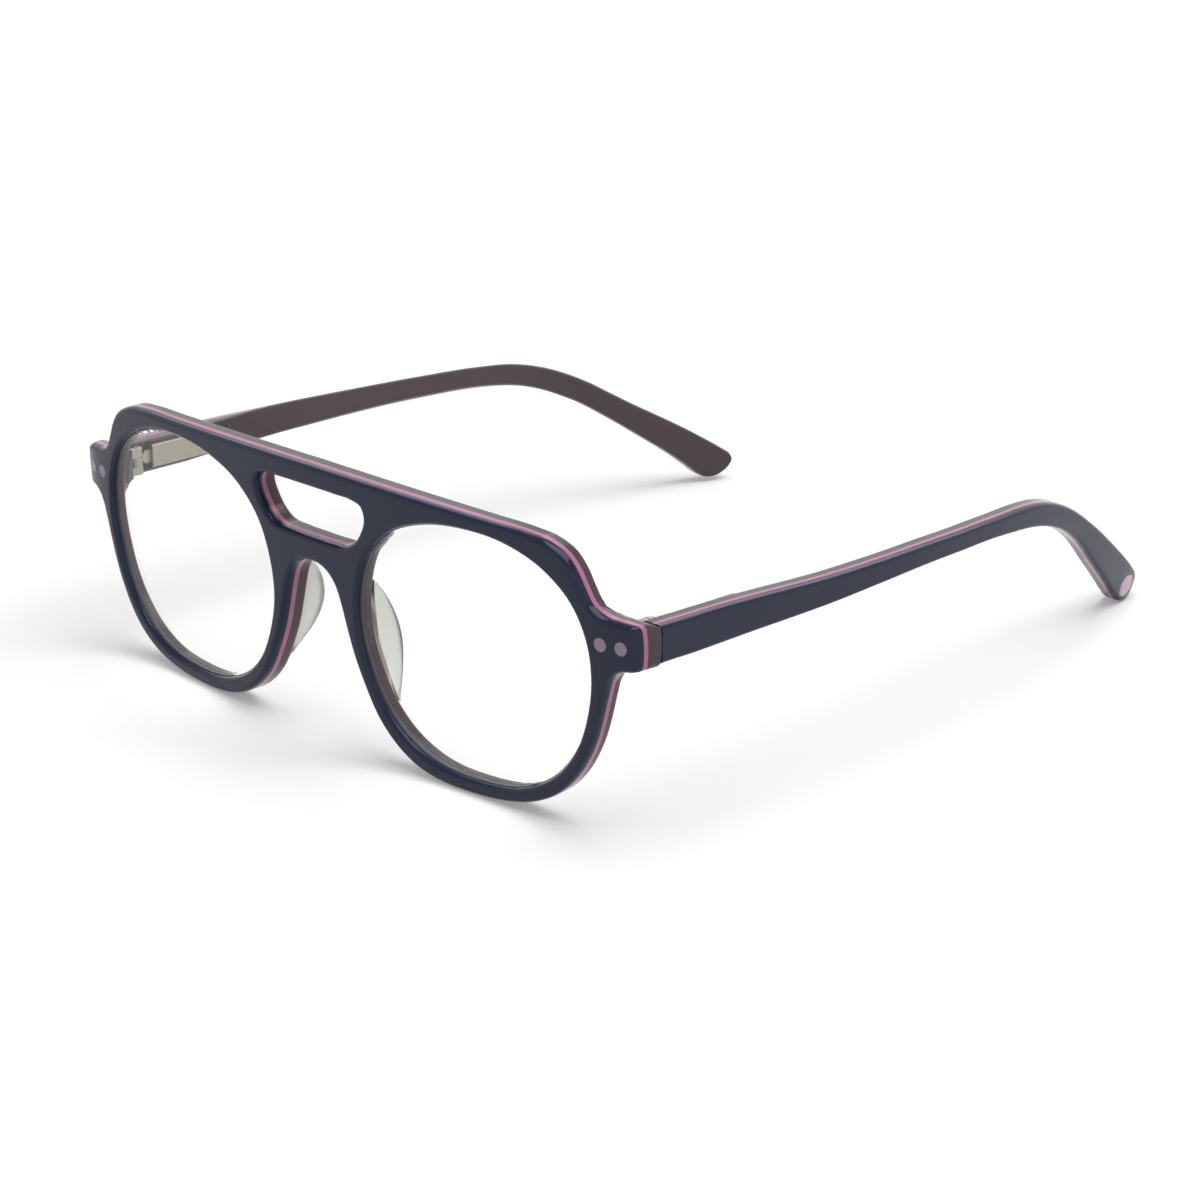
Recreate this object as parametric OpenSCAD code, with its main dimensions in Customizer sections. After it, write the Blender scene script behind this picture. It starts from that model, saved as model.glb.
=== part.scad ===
// Aviator eyeglasses in laminated sheet with a double bridge and sprung temples.
// They stand on the two rims and the two temple tips.
// X runs across, +X is the wearer's left. The front faces -Y and the temples run to +Y.

/* [Overall] */
// Width across the temples
frame_w = 140; // [134:1:146]
// Length from the brow to the ends of the temples
frame_l = 158.6; // [150:0.2:166]
// Lean of the front, with its top forward
front_tilt = 2.13; // [1:0.01:4]
// Radius of the front's wrap, in plan
wrap_r = 444; // [360:2:600]

/* [Lenses and bridge] */
// Width of a lens opening
lens_w = 49.9; // [48:0.1:52]
// Height of a lens opening
lens_h = 42.7; // [41:0.1:44]
// Width between the two lens openings
bridge_w = 21.8; // [20:0.1:23]
// Height of the brow bar over a lens opening
brow_h = 3.35; // [2.8:0.05:4]
// Height of the rim under a lens opening
rim_low = 2.6; // [2.2:0.05:3.4]
// Width of the rim on the outer side of a lens opening
rim_side = 3.2; // [2.7:0.05:3.8]
// Thickness of a lens
lens_t = 2; // [1.6:0.05:2.2]
// Thickness of the lens edge that sits in the groove
edge_t = 0.9; // [0.6:0.05:1]
// Depth of the lens groove
groove_d = 0.8; // [0.5:0.05:1.1]
// Gap between a lens and its rim
lens_gap = 0.04; // [0.02:0.01:0.08]

/* [Front layers] */
// Thickness of the navy outer layer of the front
front_navy_t = 1.3; // [1:0.05:1.6]
// Thickness of the pink middle layer of the front
front_pink_t = 1.2; // [1:0.05:1.4]
// Thickness of the whole front at the bridge
front_t = 4.8; // [4.2:0.1:5.4]
// Radius of the back face of the front, in plan
back_r = 515; // [460:5:640]
// Depth of the end pieces, from the brow to the faces that the temples close on
end_d = 11.5; // [10.6:0.1:12.6]
// Radius of the round inlays in the end pieces
inlay_r = 1.25; // [0.9:0.05:1.5]
// Distance of the outer inlay from the side of the frame
inlay_in = 3; // [2.4:0.1:3.6]
// Distance between the two inlays of a pair
inlay_gap = 3.6; // [3.2:0.1:4]
// Depth of the inlays
inlay_t = 0.8; // [0.5:0.05:0.95]

/* [Nose pads] */
// Height of the nose pads behind the front
pad_d = 4.4; // [3.4:0.1:5.2]
// Gap left between a nose pad and the edges of the rim it is bonded to
pad_in = 0.3; // [0.2:0.05:0.5]

/* [Temples] */
// Thickness of the navy outer layer of a temple
temple_navy_t = 1.3; // [1:0.05:1.5]
// Thickness of the pink middle layer of a temple
temple_pink_t = 1; // [0.8:0.05:1.2]
// Thickness of the brown inner layer of a temple
temple_brown_t = 1.9; // [1.85:0.05:2.4]
// Height of a temple at its hinge end
temple_h = 6.4; // [6.1:0.1:7]
// Gap between a closed temple and its end piece
butt_gap = 0.15; // [0.1:0.01:0.3]
// Where the inward curve of a temple begins, from the brow
curve_y = 55; // [45:1:65]
// Radius of the inward curve of a temple
curve_r = 350; // [300:5:450]
// Length of the oval inlay at the end of a temple
tip_inlay_l = 6; // [5:0.1:6.6]
// Height of the oval inlay at the end of a temple
tip_inlay_h = 4; // [3.2:0.1:4.4]
// Depth of the oval inlay at the end of a temple
tip_inlay_t = 0.7; // [0.5:0.05:0.95]

/* [Hinges] */
// Distance of the screw inside the temple's inner face
hinge_in = 1; // [0.8:0.05:1.3]
// Distance of the screw behind the end piece
hinge_back = 3; // [2.6:0.1:3.4]
// Radius of the knuckles
knuckle_r = 1.4; // [1.25:0.05:1.5]
// Height of the whole stack of knuckles
stack_h = 4.8; // [4.4:0.1:5]
// Height of the middle knuckle
slider_h = 1.6; // [1.3:0.1:1.9]
// Gap between one knuckle and the next
knuckle_gap = 0.05; // [0.03:0.01:0.1]
// Radius of the screw
screw_r = 0.6; // [0.45:0.05:0.65]
// Gap between the screw and its bores
screw_gap = 0.04; // [0.02:0.01:0.08]
// Radius of the screw's head
head_r = 1; // [0.85:0.05:1.1]
// Height of the screw's head
head_h = 0.5; // [0.4:0.05:0.6]
// Thickness of the hinge plate on the end piece
plate_t = 0.8; // [0.6:0.05:1]
// Width of the hinge plate on the end piece
plate_w = 3.6; // [3.2:0.1:3.8]

/* [Spring housings] */
// Length of a spring housing
housing_l = 16.4; // [15:0.2:18]
// Height of a spring housing
housing_h = 4.2; // [3.8:0.1:4.5]
// Thickness of a spring housing, from its inner face to the bottom of its pocket
housing_t = 3; // [2.8:0.05:3.1]
// Depth of the housing's pocket in the temple
housing_in = 1.75; // [1.5:0.05:1.8]
// Distance from the screw to the front of the housing
housing_y = 3.8; // [3.4:0.1:4.2]
// Radius of the bore that holds the spring
bore_r = 1.1; // [1:0.05:1.15]
// Thickness of the slider's tongue and guide block
tongue_t = 1.6; // [1.3:0.05:1.7]
// Height of the slider's guide block
guide_h = 2.4; // [2.1:0.1:2.6]
// Length of the slider's guide block
guide_l = 4; // [3:0.1:4.2]
// Radius of the rod that the spring sits on
rod_r = 0.4; // [0.3:0.05:0.45]
// Radius of the spring's wire
wire_r = 0.15; // [0.1:0.01:0.18]
// Turns of the spring
spring_turns = 7; // [5:1:9]
// Gap round the sliding and seated pieces of the housing
slide_gap = 0.05; // [0.03:0.01:0.08]

/* [Hidden] */

navy = "#2b2d3a";
pink = "#d07a9a";
brown = "#4d4344";
steel = "#b9b9ae";
round_fn = 48;
wrap_fn = 720;
far = 12;

// The outlines of the front are drawn for these breaks, which follow the sizes set above
drawn_x = [0, 10.9, 60.8, 64, 70, 75];
real_x = [0, bridge_w/2, bridge_w/2 + lens_w, bridge_w/2 + lens_w + rim_side, frame_w/2, frame_w/2 + 5];
drawn_z = [-47.8, -45.2, -2.5, 0.85];
brow_top = 0.85;
rim_h = brow_h + lens_h + rim_low - brow_top;
real_z = [-rim_h, -brow_h - lens_h + brow_top, brow_top - brow_h, brow_top];
function along(v, a, b) = lookup(v, [for (i = [0:len(a) - 1]) [a[i], b[i]]]);
function placed(p) = [for (q = p) [along(q.x, drawn_x, real_x), along(q.y, drawn_z, real_z)]];

// Half of the outer edge, from the middle of the brow round to the top of the nose notch.
// It runs past the side, where the front is cut off straight.
brow_edge = [[0, 0.85], [14, 0.7], [28, 0.4], [40, 0.05], [48, -0.25], [53, -0.95], [56.3, -2.5],
    [58.3, -4.8], [59.7, -7.4], [61.2, -9.8], [63.6, -11], [66.6, -11.4], [70, -11.6], [75, -11.9]];
side_edge = [[75, -18.3], [71, -18.35], [69.2, -18.55], [67.2, -19], [65.5, -20], [64.4, -21.6], [63.6, -24],
    [62.5, -28], [61.3, -31.8], [59.5, -35.8], [56.9, -39.8], [53.4, -43.2], [48.8, -45.7],
    [43.5, -47.1], [39, -47.63], [34, -47.8], [29, -47.63], [23, -46.3], [18.5, -43.8], [14.6, -40],
    [11.6, -35], [9.3, -30], [7.8, -25.4], [6.7, -21.7], [5.5, -18.8], [3.8, -17], [1.8, -16.2], [0, -16]];
lens_edge = [[27, -3.6], [36, -2.5], [45, -3.2], [52, -5.7], [57.2, -9.9], [60.1, -15.7], [60.8, -21.5],
    [59.9, -28], [57.5, -34.4], [53, -40], [46, -43.9], [36.5, -45.2], [27, -44.4], [20.4, -41.5],
    [15.6, -36.9], [12.5, -31], [10.9, -24.5], [11.4, -18.2], [13.8, -11.9], [18.8, -6.9]];
hole_edge = [[0, -2.95], [7, -3], [11, -3.15], [13, -3.8], [13.5, -5.2], [12.5, -8], [10.6, -10.3],
    [8.6, -11.4], [5, -11.7], [0, -11.75]];

// Top and lower edges of a temple from the side: distance behind the brow, height over the floor
temple_y = [0, 11.65, 98, 158.6];
placed_y = [0, end_d + butt_gap, end_d + butt_gap + 86.35, frame_l];
temple_top = [[22, 35.35], [36, 34.8], [50, 34.2], [66, 33.6], [84, 33.1], [98, 32.6], [107, 31.9],
    [114, 30.6], [120, 28.8], [125, 26.75], [130, 24.1], [136, 20.25], [143, 15.5], [150, 10.75], [155.9, 6.65]];
temple_tip = [[158, 5], [158.6, 3.6], [157.95, 2.1], [156.9, 0.8], [154.9, 0], [152.9, 0.8]];
temple_low = [[150.6, 2.4], [147, 5.2], [143, 8.4], [138, 12.45], [133.5, 16.1], [129, 19.35], [124, 22.3],
    [118, 24.85], [110, 27.3], [100, 28.9], [84, 29.6], [66, 29.65], [50, 29.45], [36, 29.25], [22, 29.15]];
tip_spot = [153.5, 3.5];

// Smooth curve through points, with its slope at each point set by the spans on both sides
function slope(a, b, c) = let(u = norm(b - a), v = norm(c - b))
    u == 0 ? (c - b)/v : v == 0 ? (b - a)/u : ((b - a)/u*v + (c - b)/v*u)/(u + v);
function bend(p, q, m, n, t) = let(h = norm(q - p))
    p*(1 + 2*t)*(1 - t)*(1 - t) + q*t*t*(3 - 2*t) + h*m*t*(1 - t)*(1 - t) - h*n*t*t*(1 - t);
function run(p, n) = let(e = len(p) - 1) concat([for (i = [0:e - 1])
    let(m = slope(p[max(i - 1, 0)], p[i], p[i + 1]), k = slope(p[i], p[i + 1], p[min(i + 2, e)]))
    for (j = [0:n - 1]) bend(p[i], p[i + 1], m, k, j/n)], [p[e]]);
function ring(p, n) = let(e = len(p)) [for (i = [0:e - 1])
    let(a = p[(i + e - 1)%e], b = p[i], c = p[(i + 1)%e], d = p[(i + 2)%e])
    for (j = [0:n - 1]) bend(b, c, slope(a, b, c), slope(b, c, d), j/n)];
// Closed clockwise outline moved outward by d
function grown(p, d) = let(e = len(p)) [for (i = [0:e - 1])
    let(t = p[(i + 1)%e] - p[(i + e - 1)%e]) p[i] + d*[-t.y, t.x]/norm(t)];

lens_loop = ring(placed(lens_edge), 4);
side_run = run(placed(side_edge), 3);
half_outline = concat([[-2, brow_top]], run(placed(brow_edge), 3), side_run, [[-2, side_run[len(side_run) - 1].y]]);
half_hole = concat([[-2, placed(hole_edge)[0].y]], run(placed(hole_edge), 3),
    [[-2, placed(hole_edge)[len(hole_edge) - 1].y]]);
lens_a = asin((bridge_w + lens_w)/2/wrap_r);

// Heights and places that the pieces share
low_x = 34;
front_z = rim_h*cos(front_tilt) - low_x*low_x/2/wrap_r*sin(front_tilt);
front_y = -(frame_l - brow_top*sin(front_tilt))/2;
end_mid = along(-15.15, drawn_z, real_z);
inlay_z = along(-15.2, drawn_z, real_z);
butt_y = end_d + butt_gap;
temple_t = temple_navy_t + temple_pink_t + temple_brown_t;
temple_in = frame_w/2 - temple_t;
hinge_x = temple_in - hinge_in;
hinge_y = end_d + hinge_back;
hinge_z = front_z + end_mid - 0.25;
end_top = hinge_z + temple_h/2;
end_low = hinge_z - temple_h/2;
barrel_h = (stack_h - slider_h)/2 - knuckle_gap;
housing_x = temple_in + housing_in;
rod_x = housing_x - housing_t/2;
recess_gap = 0.15;
recess_x = rod_x + tongue_t/2 + recess_gap;
mouth_l = guide_l;
stop_l = 0.8;
nut_l = 1;
guide_y = hinge_y + housing_y - 1.4;
stop_y = guide_y + guide_l + 0.75;
nut_y = hinge_y + housing_y + housing_l - 4;
temple_drop = hinge_z - 32.3;

module side(s) {
    mirror([s < 0 ? 1 : 0, 0, 0]) children();
}

// Puts a piece drawn on the upright front at its lean and height
module leaned() {
    translate([0, front_y, front_z]) rotate([front_tilt, 0, 0]) children();
}

// Stretch from depth a to depth b of an outline drawn across and up, seen from the front
module slab(points, a, b) {
    translate([0, b, 0]) rotate([90, 0, 0]) linear_extrude(b - a) polygon(points);
}

// The half of the front on the wearer's left, as a block square to its lens
module half_block(points, a, b) {
    intersection() {
        rotate([0, 0, lens_a]) slab(points, a, b);
        translate([0, -far, -60]) cube([frame_w/2, 60, 80]);
    }
}

// Body between two upright faces of the front, at depths a and b under its outer face
module wrapped(a, b) {
    difference() {
        translate([0, wrap_r, -60]) cylinder(r = wrap_r - a, h = 80, $fn = wrap_fn);
        translate([0, wrap_r, -61]) cylinder(r = wrap_r - b, h = 82, $fn = wrap_fn);
    }
}

module behind(a) {
    difference() {
        translate([0, wrap_r, -60]) cylinder(r = wrap_r - a, h = 80, $fn = wrap_fn);
        translate([0, front_t + back_r, -61]) cylinder(r = back_r, h = 82, $fn = wrap_fn);
    }
}

// Both halves of one layer: outline, less its lens openings and the hole over the lower bridge
module layer_blank(extra) {
    for (s = [1, -1]) side(s) intersection() {
        difference() {
            half_block(half_outline, -3, far + 4);
            rotate([0, 0, lens_a]) slab(grown(lens_loop, extra), -4, far + 5);
            slab(half_hole, -4, far + 5);
        }
        children();
    }
}

module front_navy() {
    color(navy) difference() {
        leaned() layer_blank(0) wrapped(0, front_navy_t);
        inlays(0.01);
    }
}

module front_pink() {
    color(pink) leaned() layer_blank(groove_d) wrapped(front_navy_t, front_navy_t + front_pink_t);
}

module front_brown() {
    color(brown) difference() {
        union() {
            leaned() layer_blank(0) behind(front_navy_t + front_pink_t);
            for (s = [1, -1]) side(s) end_block();
        }
        for (s = [1, -1]) side(s) plate_body(slide_gap);
    }
}

// Thick end of the brown layer, with a square face for the temple to close on
module end_block() {
    inner = hinge_x - plate_w/2 - 1;
    plan = [[inner - 1, end_d - 4.2], [inner, end_d], [frame_w/2 + 2, end_d], [frame_w/2 + 2, end_d - 5]];
    profile = [[0, end_top + 1], [end_d - 5, end_top + 0.9], [end_d, end_top - 0.1], [end_d, end_low + 0.5],
        [end_d - 1, end_low + 0.1], [end_d - 5, end_low - 0.4], [0, end_low - 1]];
    intersection() {
        leaned() half_block(half_outline, -3, far + 4);
        leaned() translate([0, wrap_r, -60])
            cylinder(r = wrap_r - front_navy_t - front_pink_t, h = 80, $fn = wrap_fn);
        translate([0, front_y, 0]) linear_extrude(60) polygon(plan);
        translate([40, front_y, 0]) rotate([90, 0, 90]) linear_extrude(50) polygon(profile);
    }
}

// The four round inlays, set flush in the outer face
module inlays(gap) {
    for (s = [1, -1], i = [0, 1]) leaned() side(s) intersection() {
        wrapped(gap > 0 ? -1 : 0, inlay_t + gap);
        turn = asin((frame_w/2 - inlay_in - i*inlay_gap)/wrap_r);
        translate([0, wrap_r, inlay_z]) rotate([0, 0, turn]) translate([0, -wrap_r - 2, 0])
            rotate([-90, 0, 0]) cylinder(r = inlay_r + gap, h = 6, $fn = round_fn);
    }
}

module front_inlays() {
    color("#a58fa6") inlays(0);
}

// A lens: a clear shell with a thinner edge that sits in the groove of the pink layer
module lens(s) {
    mid = front_navy_t + front_pink_t/2;
    color("#e8eef0", 0.35) leaned() side(s) {
        intersection() {
            rotate([0, 0, lens_a]) slab(grown(lens_loop, -lens_gap), -3, far);
            wrapped(mid - lens_t/2, mid + lens_t/2);
        }
        intersection() {
            rotate([0, 0, lens_a]) slab(grown(lens_loop, groove_d - lens_gap), -3, far);
            wrapped(mid - edge_t/2, mid + edge_t/2);
        }
    }
}

// A clear nose pad, bonded to the back of the rim beside the nose
module nose_pad(s) {
    rows = [-17.5, -20, -23, -26, -29, -32, -35, -38, -40.5];
    nose = [6, 6.3, 7.1, 8.1, 9.1, 10.2, 11.6, 13.3, 15];
    eye = [11.5, 11, 10.9, 11.1, 11.8, 13, 14.6, 16.7, 18.9];
    last = len(rows) - 1;
    edge = placed(concat([for (i = [0:last]) [nose[i], rows[i]]], [for (i = [last:-1:0]) [eye[i], rows[i]]]));
    band = [for (i = [0:len(edge) - 1]) edge[i] + [i <= last ? pad_in : -pad_in, 0]];
    z0 = along(rows[0], drawn_z, real_z);
    z1 = along(rows[last], drawn_z, real_z);
    crest = [[front_t - 1, z0 + 1], [front_t + 0.2, z0], [front_t + pad_d*0.45, z0 - 3],
        [front_t + pad_d*0.9, z0 - 7.5], [front_t + pad_d, z0 - 11.5], [front_t + pad_d*0.9, z0 - 15.5],
        [front_t + pad_d*0.55, z1 + 3.5], [front_t + 0.2, z1], [front_t - 1, z1 - 1]];
    color("#dfe6df", 0.6) leaned() side(s) intersection() {
        slab(band, 0, far + 2);
        rotate([90, 0, 90]) linear_extrude(40) polygon(run(crest, 3));
        translate([0, front_t + back_r, -60]) cylinder(r = back_r - 0.01, h = 80, $fn = wrap_fn);
    }
}

// Steel plate let into the end piece, with a tail that holds it
module plate_body(gap) {
    translate([hinge_x - plate_w/2 - gap, front_y + end_d - plate_t - gap, hinge_z - stack_h/2 - gap])
        cube([plate_w + 2*gap, plate_t + gap + (gap > 0 ? 1 : 0), stack_h + 2*gap]);
    translate([hinge_x - plate_w/4 - gap, front_y + end_d - plate_t - 1.2 - gap, hinge_z - stack_h/4 - gap])
        cube([plate_w/2 + 2*gap, 1.3 + gap, stack_h/2 + 2*gap]);
}

module hinge_plate(s) {
    color(steel) side(s) difference() {
        union() {
            plate_body(0);
            for (z = [hinge_z - stack_h/2, hinge_z + stack_h/2 - barrel_h]) {
                translate([hinge_x, front_y + hinge_y, z]) cylinder(r = knuckle_r, h = barrel_h, $fn = round_fn);
                translate([hinge_x - knuckle_r, front_y + end_d - 0.1, z])
                    cube([2*knuckle_r, hinge_back + 0.1, barrel_h]);
            }
        }
        translate([hinge_x, front_y + hinge_y, hinge_z - stack_h]) cylinder(r = screw_r + screw_gap, h = 2*stack_h, $fn = round_fn);
        translate([hinge_x, front_y + hinge_y, hinge_z + stack_h/2 - head_h - knuckle_gap])
            cylinder(r = head_r + screw_gap, h = 2, $fn = round_fn);
    }
}

module hinge_screw(s) {
    color("#cfcfc8") side(s) translate([hinge_x, front_y + hinge_y, hinge_z]) difference() {
        union() {
            translate([0, 0, -stack_h/2]) cylinder(r = screw_r, h = stack_h - 0.2, $fn = round_fn);
            translate([0, 0, stack_h/2 - head_h]) cylinder(r = head_r, h = head_h, $fn = round_fn);
        }
        translate([-2, -0.12, stack_h/2 - 0.22]) cube([4, 0.24, 1]);
    }
}

// Middle knuckle with its tongue, its guide block and the rod that pulls on the spring
module hinge_slider(s) {
    color("#c4c4b9") side(s) translate([0, front_y, hinge_z]) difference() {
        union() {
            translate([hinge_x, hinge_y, -slider_h/2]) cylinder(r = knuckle_r, h = slider_h, $fn = round_fn);
            translate([rod_x - tongue_t/2, hinge_y, -slider_h/2])
                cube([tongue_t, guide_y - hinge_y + 0.5, slider_h]);
            translate([rod_x - tongue_t/2, guide_y, -guide_h/2]) cube([tongue_t, guide_l, guide_h]);
            translate([rod_x, guide_y + guide_l - 0.5, 0]) rotate([-90, 0, 0])
                cylinder(r = rod_r, h = nut_y + nut_l - guide_y - guide_l + 0.5, $fn = round_fn);
        }
        translate([hinge_x, hinge_y, -stack_h]) cylinder(r = screw_r + screw_gap, h = 2*stack_h, $fn = round_fn);
    }
}

// Round collar round the rod, from y on, l long
module collar(r, y, l, hole) {
    translate([rod_x, front_y + y, hinge_z]) rotate([-90, 0, 0]) difference() {
        cylinder(r = r, h = l, $fn = round_fn);
        translate([0, 0, -1]) cylinder(r = hole, h = l + 2, $fn = round_fn);
    }
}

module spring_nut(s) {
    color("#a8a8a0") side(s) collar(bore_r - 0.2, nut_y, nut_l, rod_r + 0.01);
}

module spring_stop(s) {
    color("#a8a8a0") side(s) collar(bore_r - 0.02, stop_y, stop_l, rod_r + slide_gap);
}

// Coil spring between the stop and the nut, swept with six sides
module hinge_spring(s) {
    sides = 6;
    steps = 12;
    mean_r = (rod_r + bore_r)/2;
    a = stop_y + stop_l + wire_r + slide_gap;
    b = nut_y - wire_r - slide_gap;
    rings = spring_turns*steps;
    centres = [for (i = [0:rings]) let(t = 360*i/steps)
        [rod_x + mean_r*cos(t), front_y + a + (b - a)*i/rings, hinge_z + mean_r*sin(t)]];
    skin = [for (i = [0:rings], k = [0:sides - 1]) let(t = 360*i/steps, u = 360*k/sides)
        centres[i] + wire_r*[cos(u)*cos(t), sin(u), cos(u)*sin(t)]];
    walls = [for (i = [0:rings - 1], k = [0:sides - 1]) let(p = i*sides + k, q = i*sides + (k + 1)%sides)
        each [[p, q, p + sides], [q, q + sides, p + sides]]];
    ends = [for (k = [1:sides - 2]) each [[0, k + 1, k],
        [rings*sides, rings*sides + k, rings*sides + k + 1]]];
    color("#9a9a92") side(s) polyhedron(skin, concat(walls, ends));
}

// Solid of a housing: straight, with a round far end
module housing_body(gap, thick) {
    r = housing_h/2 + gap;
    translate([housing_x - thick, front_y + hinge_y + housing_y - gap, hinge_z - r])
        cube([thick + gap, housing_l - housing_h/2 + gap, 2*r]);
    translate([housing_x - thick, front_y + hinge_y + housing_y + housing_l - housing_h/2, hinge_z])
        rotate([0, 90, 0]) cylinder(r = r, h = thick + gap, $fn = round_fn);
}

module spring_housing(s) {
    color(steel) side(s) difference() {
        intersection() {
            housing_body(0, housing_t);
            translate([housing_x - housing_t + 5, front_y, hinge_z]) rotate([-90, 0, 0])
                cylinder(r = 5, h = 60, $fn = round_fn);
        }
        translate([rod_x - tongue_t/2 - slide_gap, front_y + hinge_y + housing_y - 1, hinge_z - guide_h/2 - slide_gap])
            cube([tongue_t + 2*slide_gap, mouth_l + 1, guide_h + 2*slide_gap]);
        translate([rod_x, front_y + hinge_y + housing_y + 1, hinge_z]) rotate([-90, 0, 0])
            cylinder(r = bore_r, h = housing_l - 2.4, $fn = round_fn);
    }
}

// Plan of one layer of a temple between depths a and b under its outer face
module temple_plan(a, b) {
    translate([frame_w/2 - b, front_y, -5]) cube([b - a, curve_y, 60]);
    intersection() {
        translate([frame_w/2 - curve_r, front_y + curve_y, 0]) difference() {
            translate([0, 0, -5]) cylinder(r = curve_r - a, h = 60, $fn = wrap_fn);
            translate([0, 0, -6]) cylinder(r = curve_r - b, h = 62, $fn = wrap_fn);
        }
        translate([0, front_y + curve_y, -5]) cube([90, 130, 60]);
    }
}

// Places a drawn temple edge, at the height of the hinge and with half of any added height on this side
function temple_at(p, more = 0) = [for (q = p) let(share = 1 - q.x/temple_y[3])
    [along(q.x, temple_y, placed_y), q.y + (temple_drop + more*(temple_h - 6.4)/2)*share]];

module temple_layer(a, b) {
    top = concat([[butt_y, end_top - 0.1]], temple_at(temple_top, 1), temple_at(temple_tip));
    low = concat(temple_at(temple_low, -1), [[butt_y, end_low]]);
    intersection() {
        translate([30, front_y, 0]) rotate([90, 0, 90]) linear_extrude(50) polygon(run(concat(top, low), 3));
        temple_plan(a, b);
    }
}

// Oval inlay, set flush in the outer face near the end of a temple
module tip_body(gap) {
    mid = temple_at([tip_spot])[0];
    oval = [for (i = [0:39]) mid + [(tip_inlay_l/2 + gap)*cos(9*i), (tip_inlay_h/2 + gap)*sin(9*i)]];
    intersection() {
        translate([30, front_y, 0]) rotate([90, 0, 90]) linear_extrude(50) polygon(oval);
        temple_plan(gap > 0 ? -1 : 0, tip_inlay_t + gap);
    }
}

module temple_navy(s) {
    color(navy) side(s) difference() {
        temple_layer(0, temple_navy_t);
        tip_body(0.01);
    }
}

module temple_pink(s) {
    color(pink) side(s) temple_layer(temple_navy_t, temple_navy_t + temple_pink_t);
}

module temple_brown(s) {
    color(brown) side(s) difference() {
        temple_layer(temple_navy_t + temple_pink_t, temple_t);
        translate([temple_in - 1, front_y + end_d - 1, hinge_z - stack_h/2 - recess_gap])
            cube([recess_x - temple_in + 1, hinge_back + housing_y + 2, stack_h + 2*recess_gap]);
        housing_body(slide_gap, housing_t + 2);
    }
}

module tip_inlay(s) {
    color(pink) side(s) tip_body(0);
}

front_navy();
front_pink();
front_brown();
front_inlays();
lens(1);  // lens_left
lens(-1);  // lens_right
nose_pad(1);  // nose_pad_left
nose_pad(-1);  // nose_pad_right
hinge_plate(1);  // hinge_plate_left
hinge_plate(-1);  // hinge_plate_right
hinge_screw(1);  // hinge_screw_left
hinge_screw(-1);  // hinge_screw_right
hinge_slider(1);  // hinge_slider_left
hinge_slider(-1);  // hinge_slider_right
spring_nut(1);  // spring_nut_left
spring_nut(-1);  // spring_nut_right
hinge_spring(1);  // hinge_spring_left
hinge_spring(-1);  // hinge_spring_right
spring_stop(1);  // spring_stop_left
spring_stop(-1);  // spring_stop_right
spring_housing(1);  // spring_housing_left
spring_housing(-1);  // spring_housing_right
temple_navy(1);  // temple_navy_left
temple_navy(-1);  // temple_navy_right
temple_pink(1);  // temple_pink_left
temple_pink(-1);  // temple_pink_right
temple_brown(1);  // temple_brown_left
temple_brown(-1);  // temple_brown_right
tip_inlay(1);  // tip_inlay_left
tip_inlay(-1);  // tip_inlay_right
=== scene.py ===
# %% [markdown]
# Aviator eyeglasses in laminated sheet.
# The front is cut from a board of three glued layers, navy, pink and brown, and bent to a slight wrap.
# The temples are cut from a second board of the same layers. Edges are polished round and walls stay flat.
# The fixed frame gives the places, the bodies and the joints. Most of its nodes are replaced below by
# pieces with finer edges, and the small hinge parts are kept and only get their finish.

# %% Load the fixed frame
import math
import bpy
from mathutils import Matrix, Vector


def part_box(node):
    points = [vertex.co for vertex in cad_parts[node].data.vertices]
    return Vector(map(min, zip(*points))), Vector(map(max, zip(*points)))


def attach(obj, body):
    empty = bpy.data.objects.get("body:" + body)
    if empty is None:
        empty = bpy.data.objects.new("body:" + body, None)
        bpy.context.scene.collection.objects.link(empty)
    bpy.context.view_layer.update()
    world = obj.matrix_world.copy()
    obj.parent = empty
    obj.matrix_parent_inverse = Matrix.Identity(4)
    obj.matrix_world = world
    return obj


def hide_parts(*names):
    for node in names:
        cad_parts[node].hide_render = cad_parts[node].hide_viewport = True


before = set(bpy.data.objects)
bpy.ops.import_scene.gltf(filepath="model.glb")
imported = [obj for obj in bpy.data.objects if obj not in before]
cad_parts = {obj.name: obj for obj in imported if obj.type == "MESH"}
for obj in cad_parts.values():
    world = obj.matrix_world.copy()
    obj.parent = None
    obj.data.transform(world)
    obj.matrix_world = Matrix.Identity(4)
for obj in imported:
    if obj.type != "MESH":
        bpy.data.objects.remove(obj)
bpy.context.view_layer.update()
bpy.ops.object.select_all(action="DESELECT")
MM = 0.001

# %% [markdown]
# All sizes are in millimetres until a mesh is placed. The front is drawn upright, with its zero at the
# middle of the brow line on the front face. It could be turned as an object at the end, but a finished
# piece has to sit unturned at the origin, so one function leans each point and puts it in its place.
# Where a piece has to meet one of the frame's nodes, its size is measured on that node.

# %% Main sizes
FRONT_Y = -79.284  # middle of the brow line, from front to back
FRONT_Z = 47.719  # middle of the brow line, above the floor
LEAN = math.radians(2.13)
WRAP_R = 444.0  # bend of the front face
BACK_R = 515.0  # bend of the back, flatter, so the front thins towards its ends
FRONT_T = 4.8
NAVY_T = 1.5
PINK_T = 0.92
BRIDGE_W = 21.8
LENS_W = 49.9
LENS_TURN = math.asin((BRIDGE_W + LENS_W) / 2 / WRAP_R)
ROUND = 0.8  # round of the front's edges


def node_box(name):
    """Low corner, high corner and size of a node of the frame, to 0.01 mm, with y counted from the brow."""
    low, high = [[round(c / MM - s, 2) for c, s in zip(corner, (0, FRONT_Y, 0))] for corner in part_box(name)]
    return low, high, [round(b - a, 2) for a, b in zip(low, high)]


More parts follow.
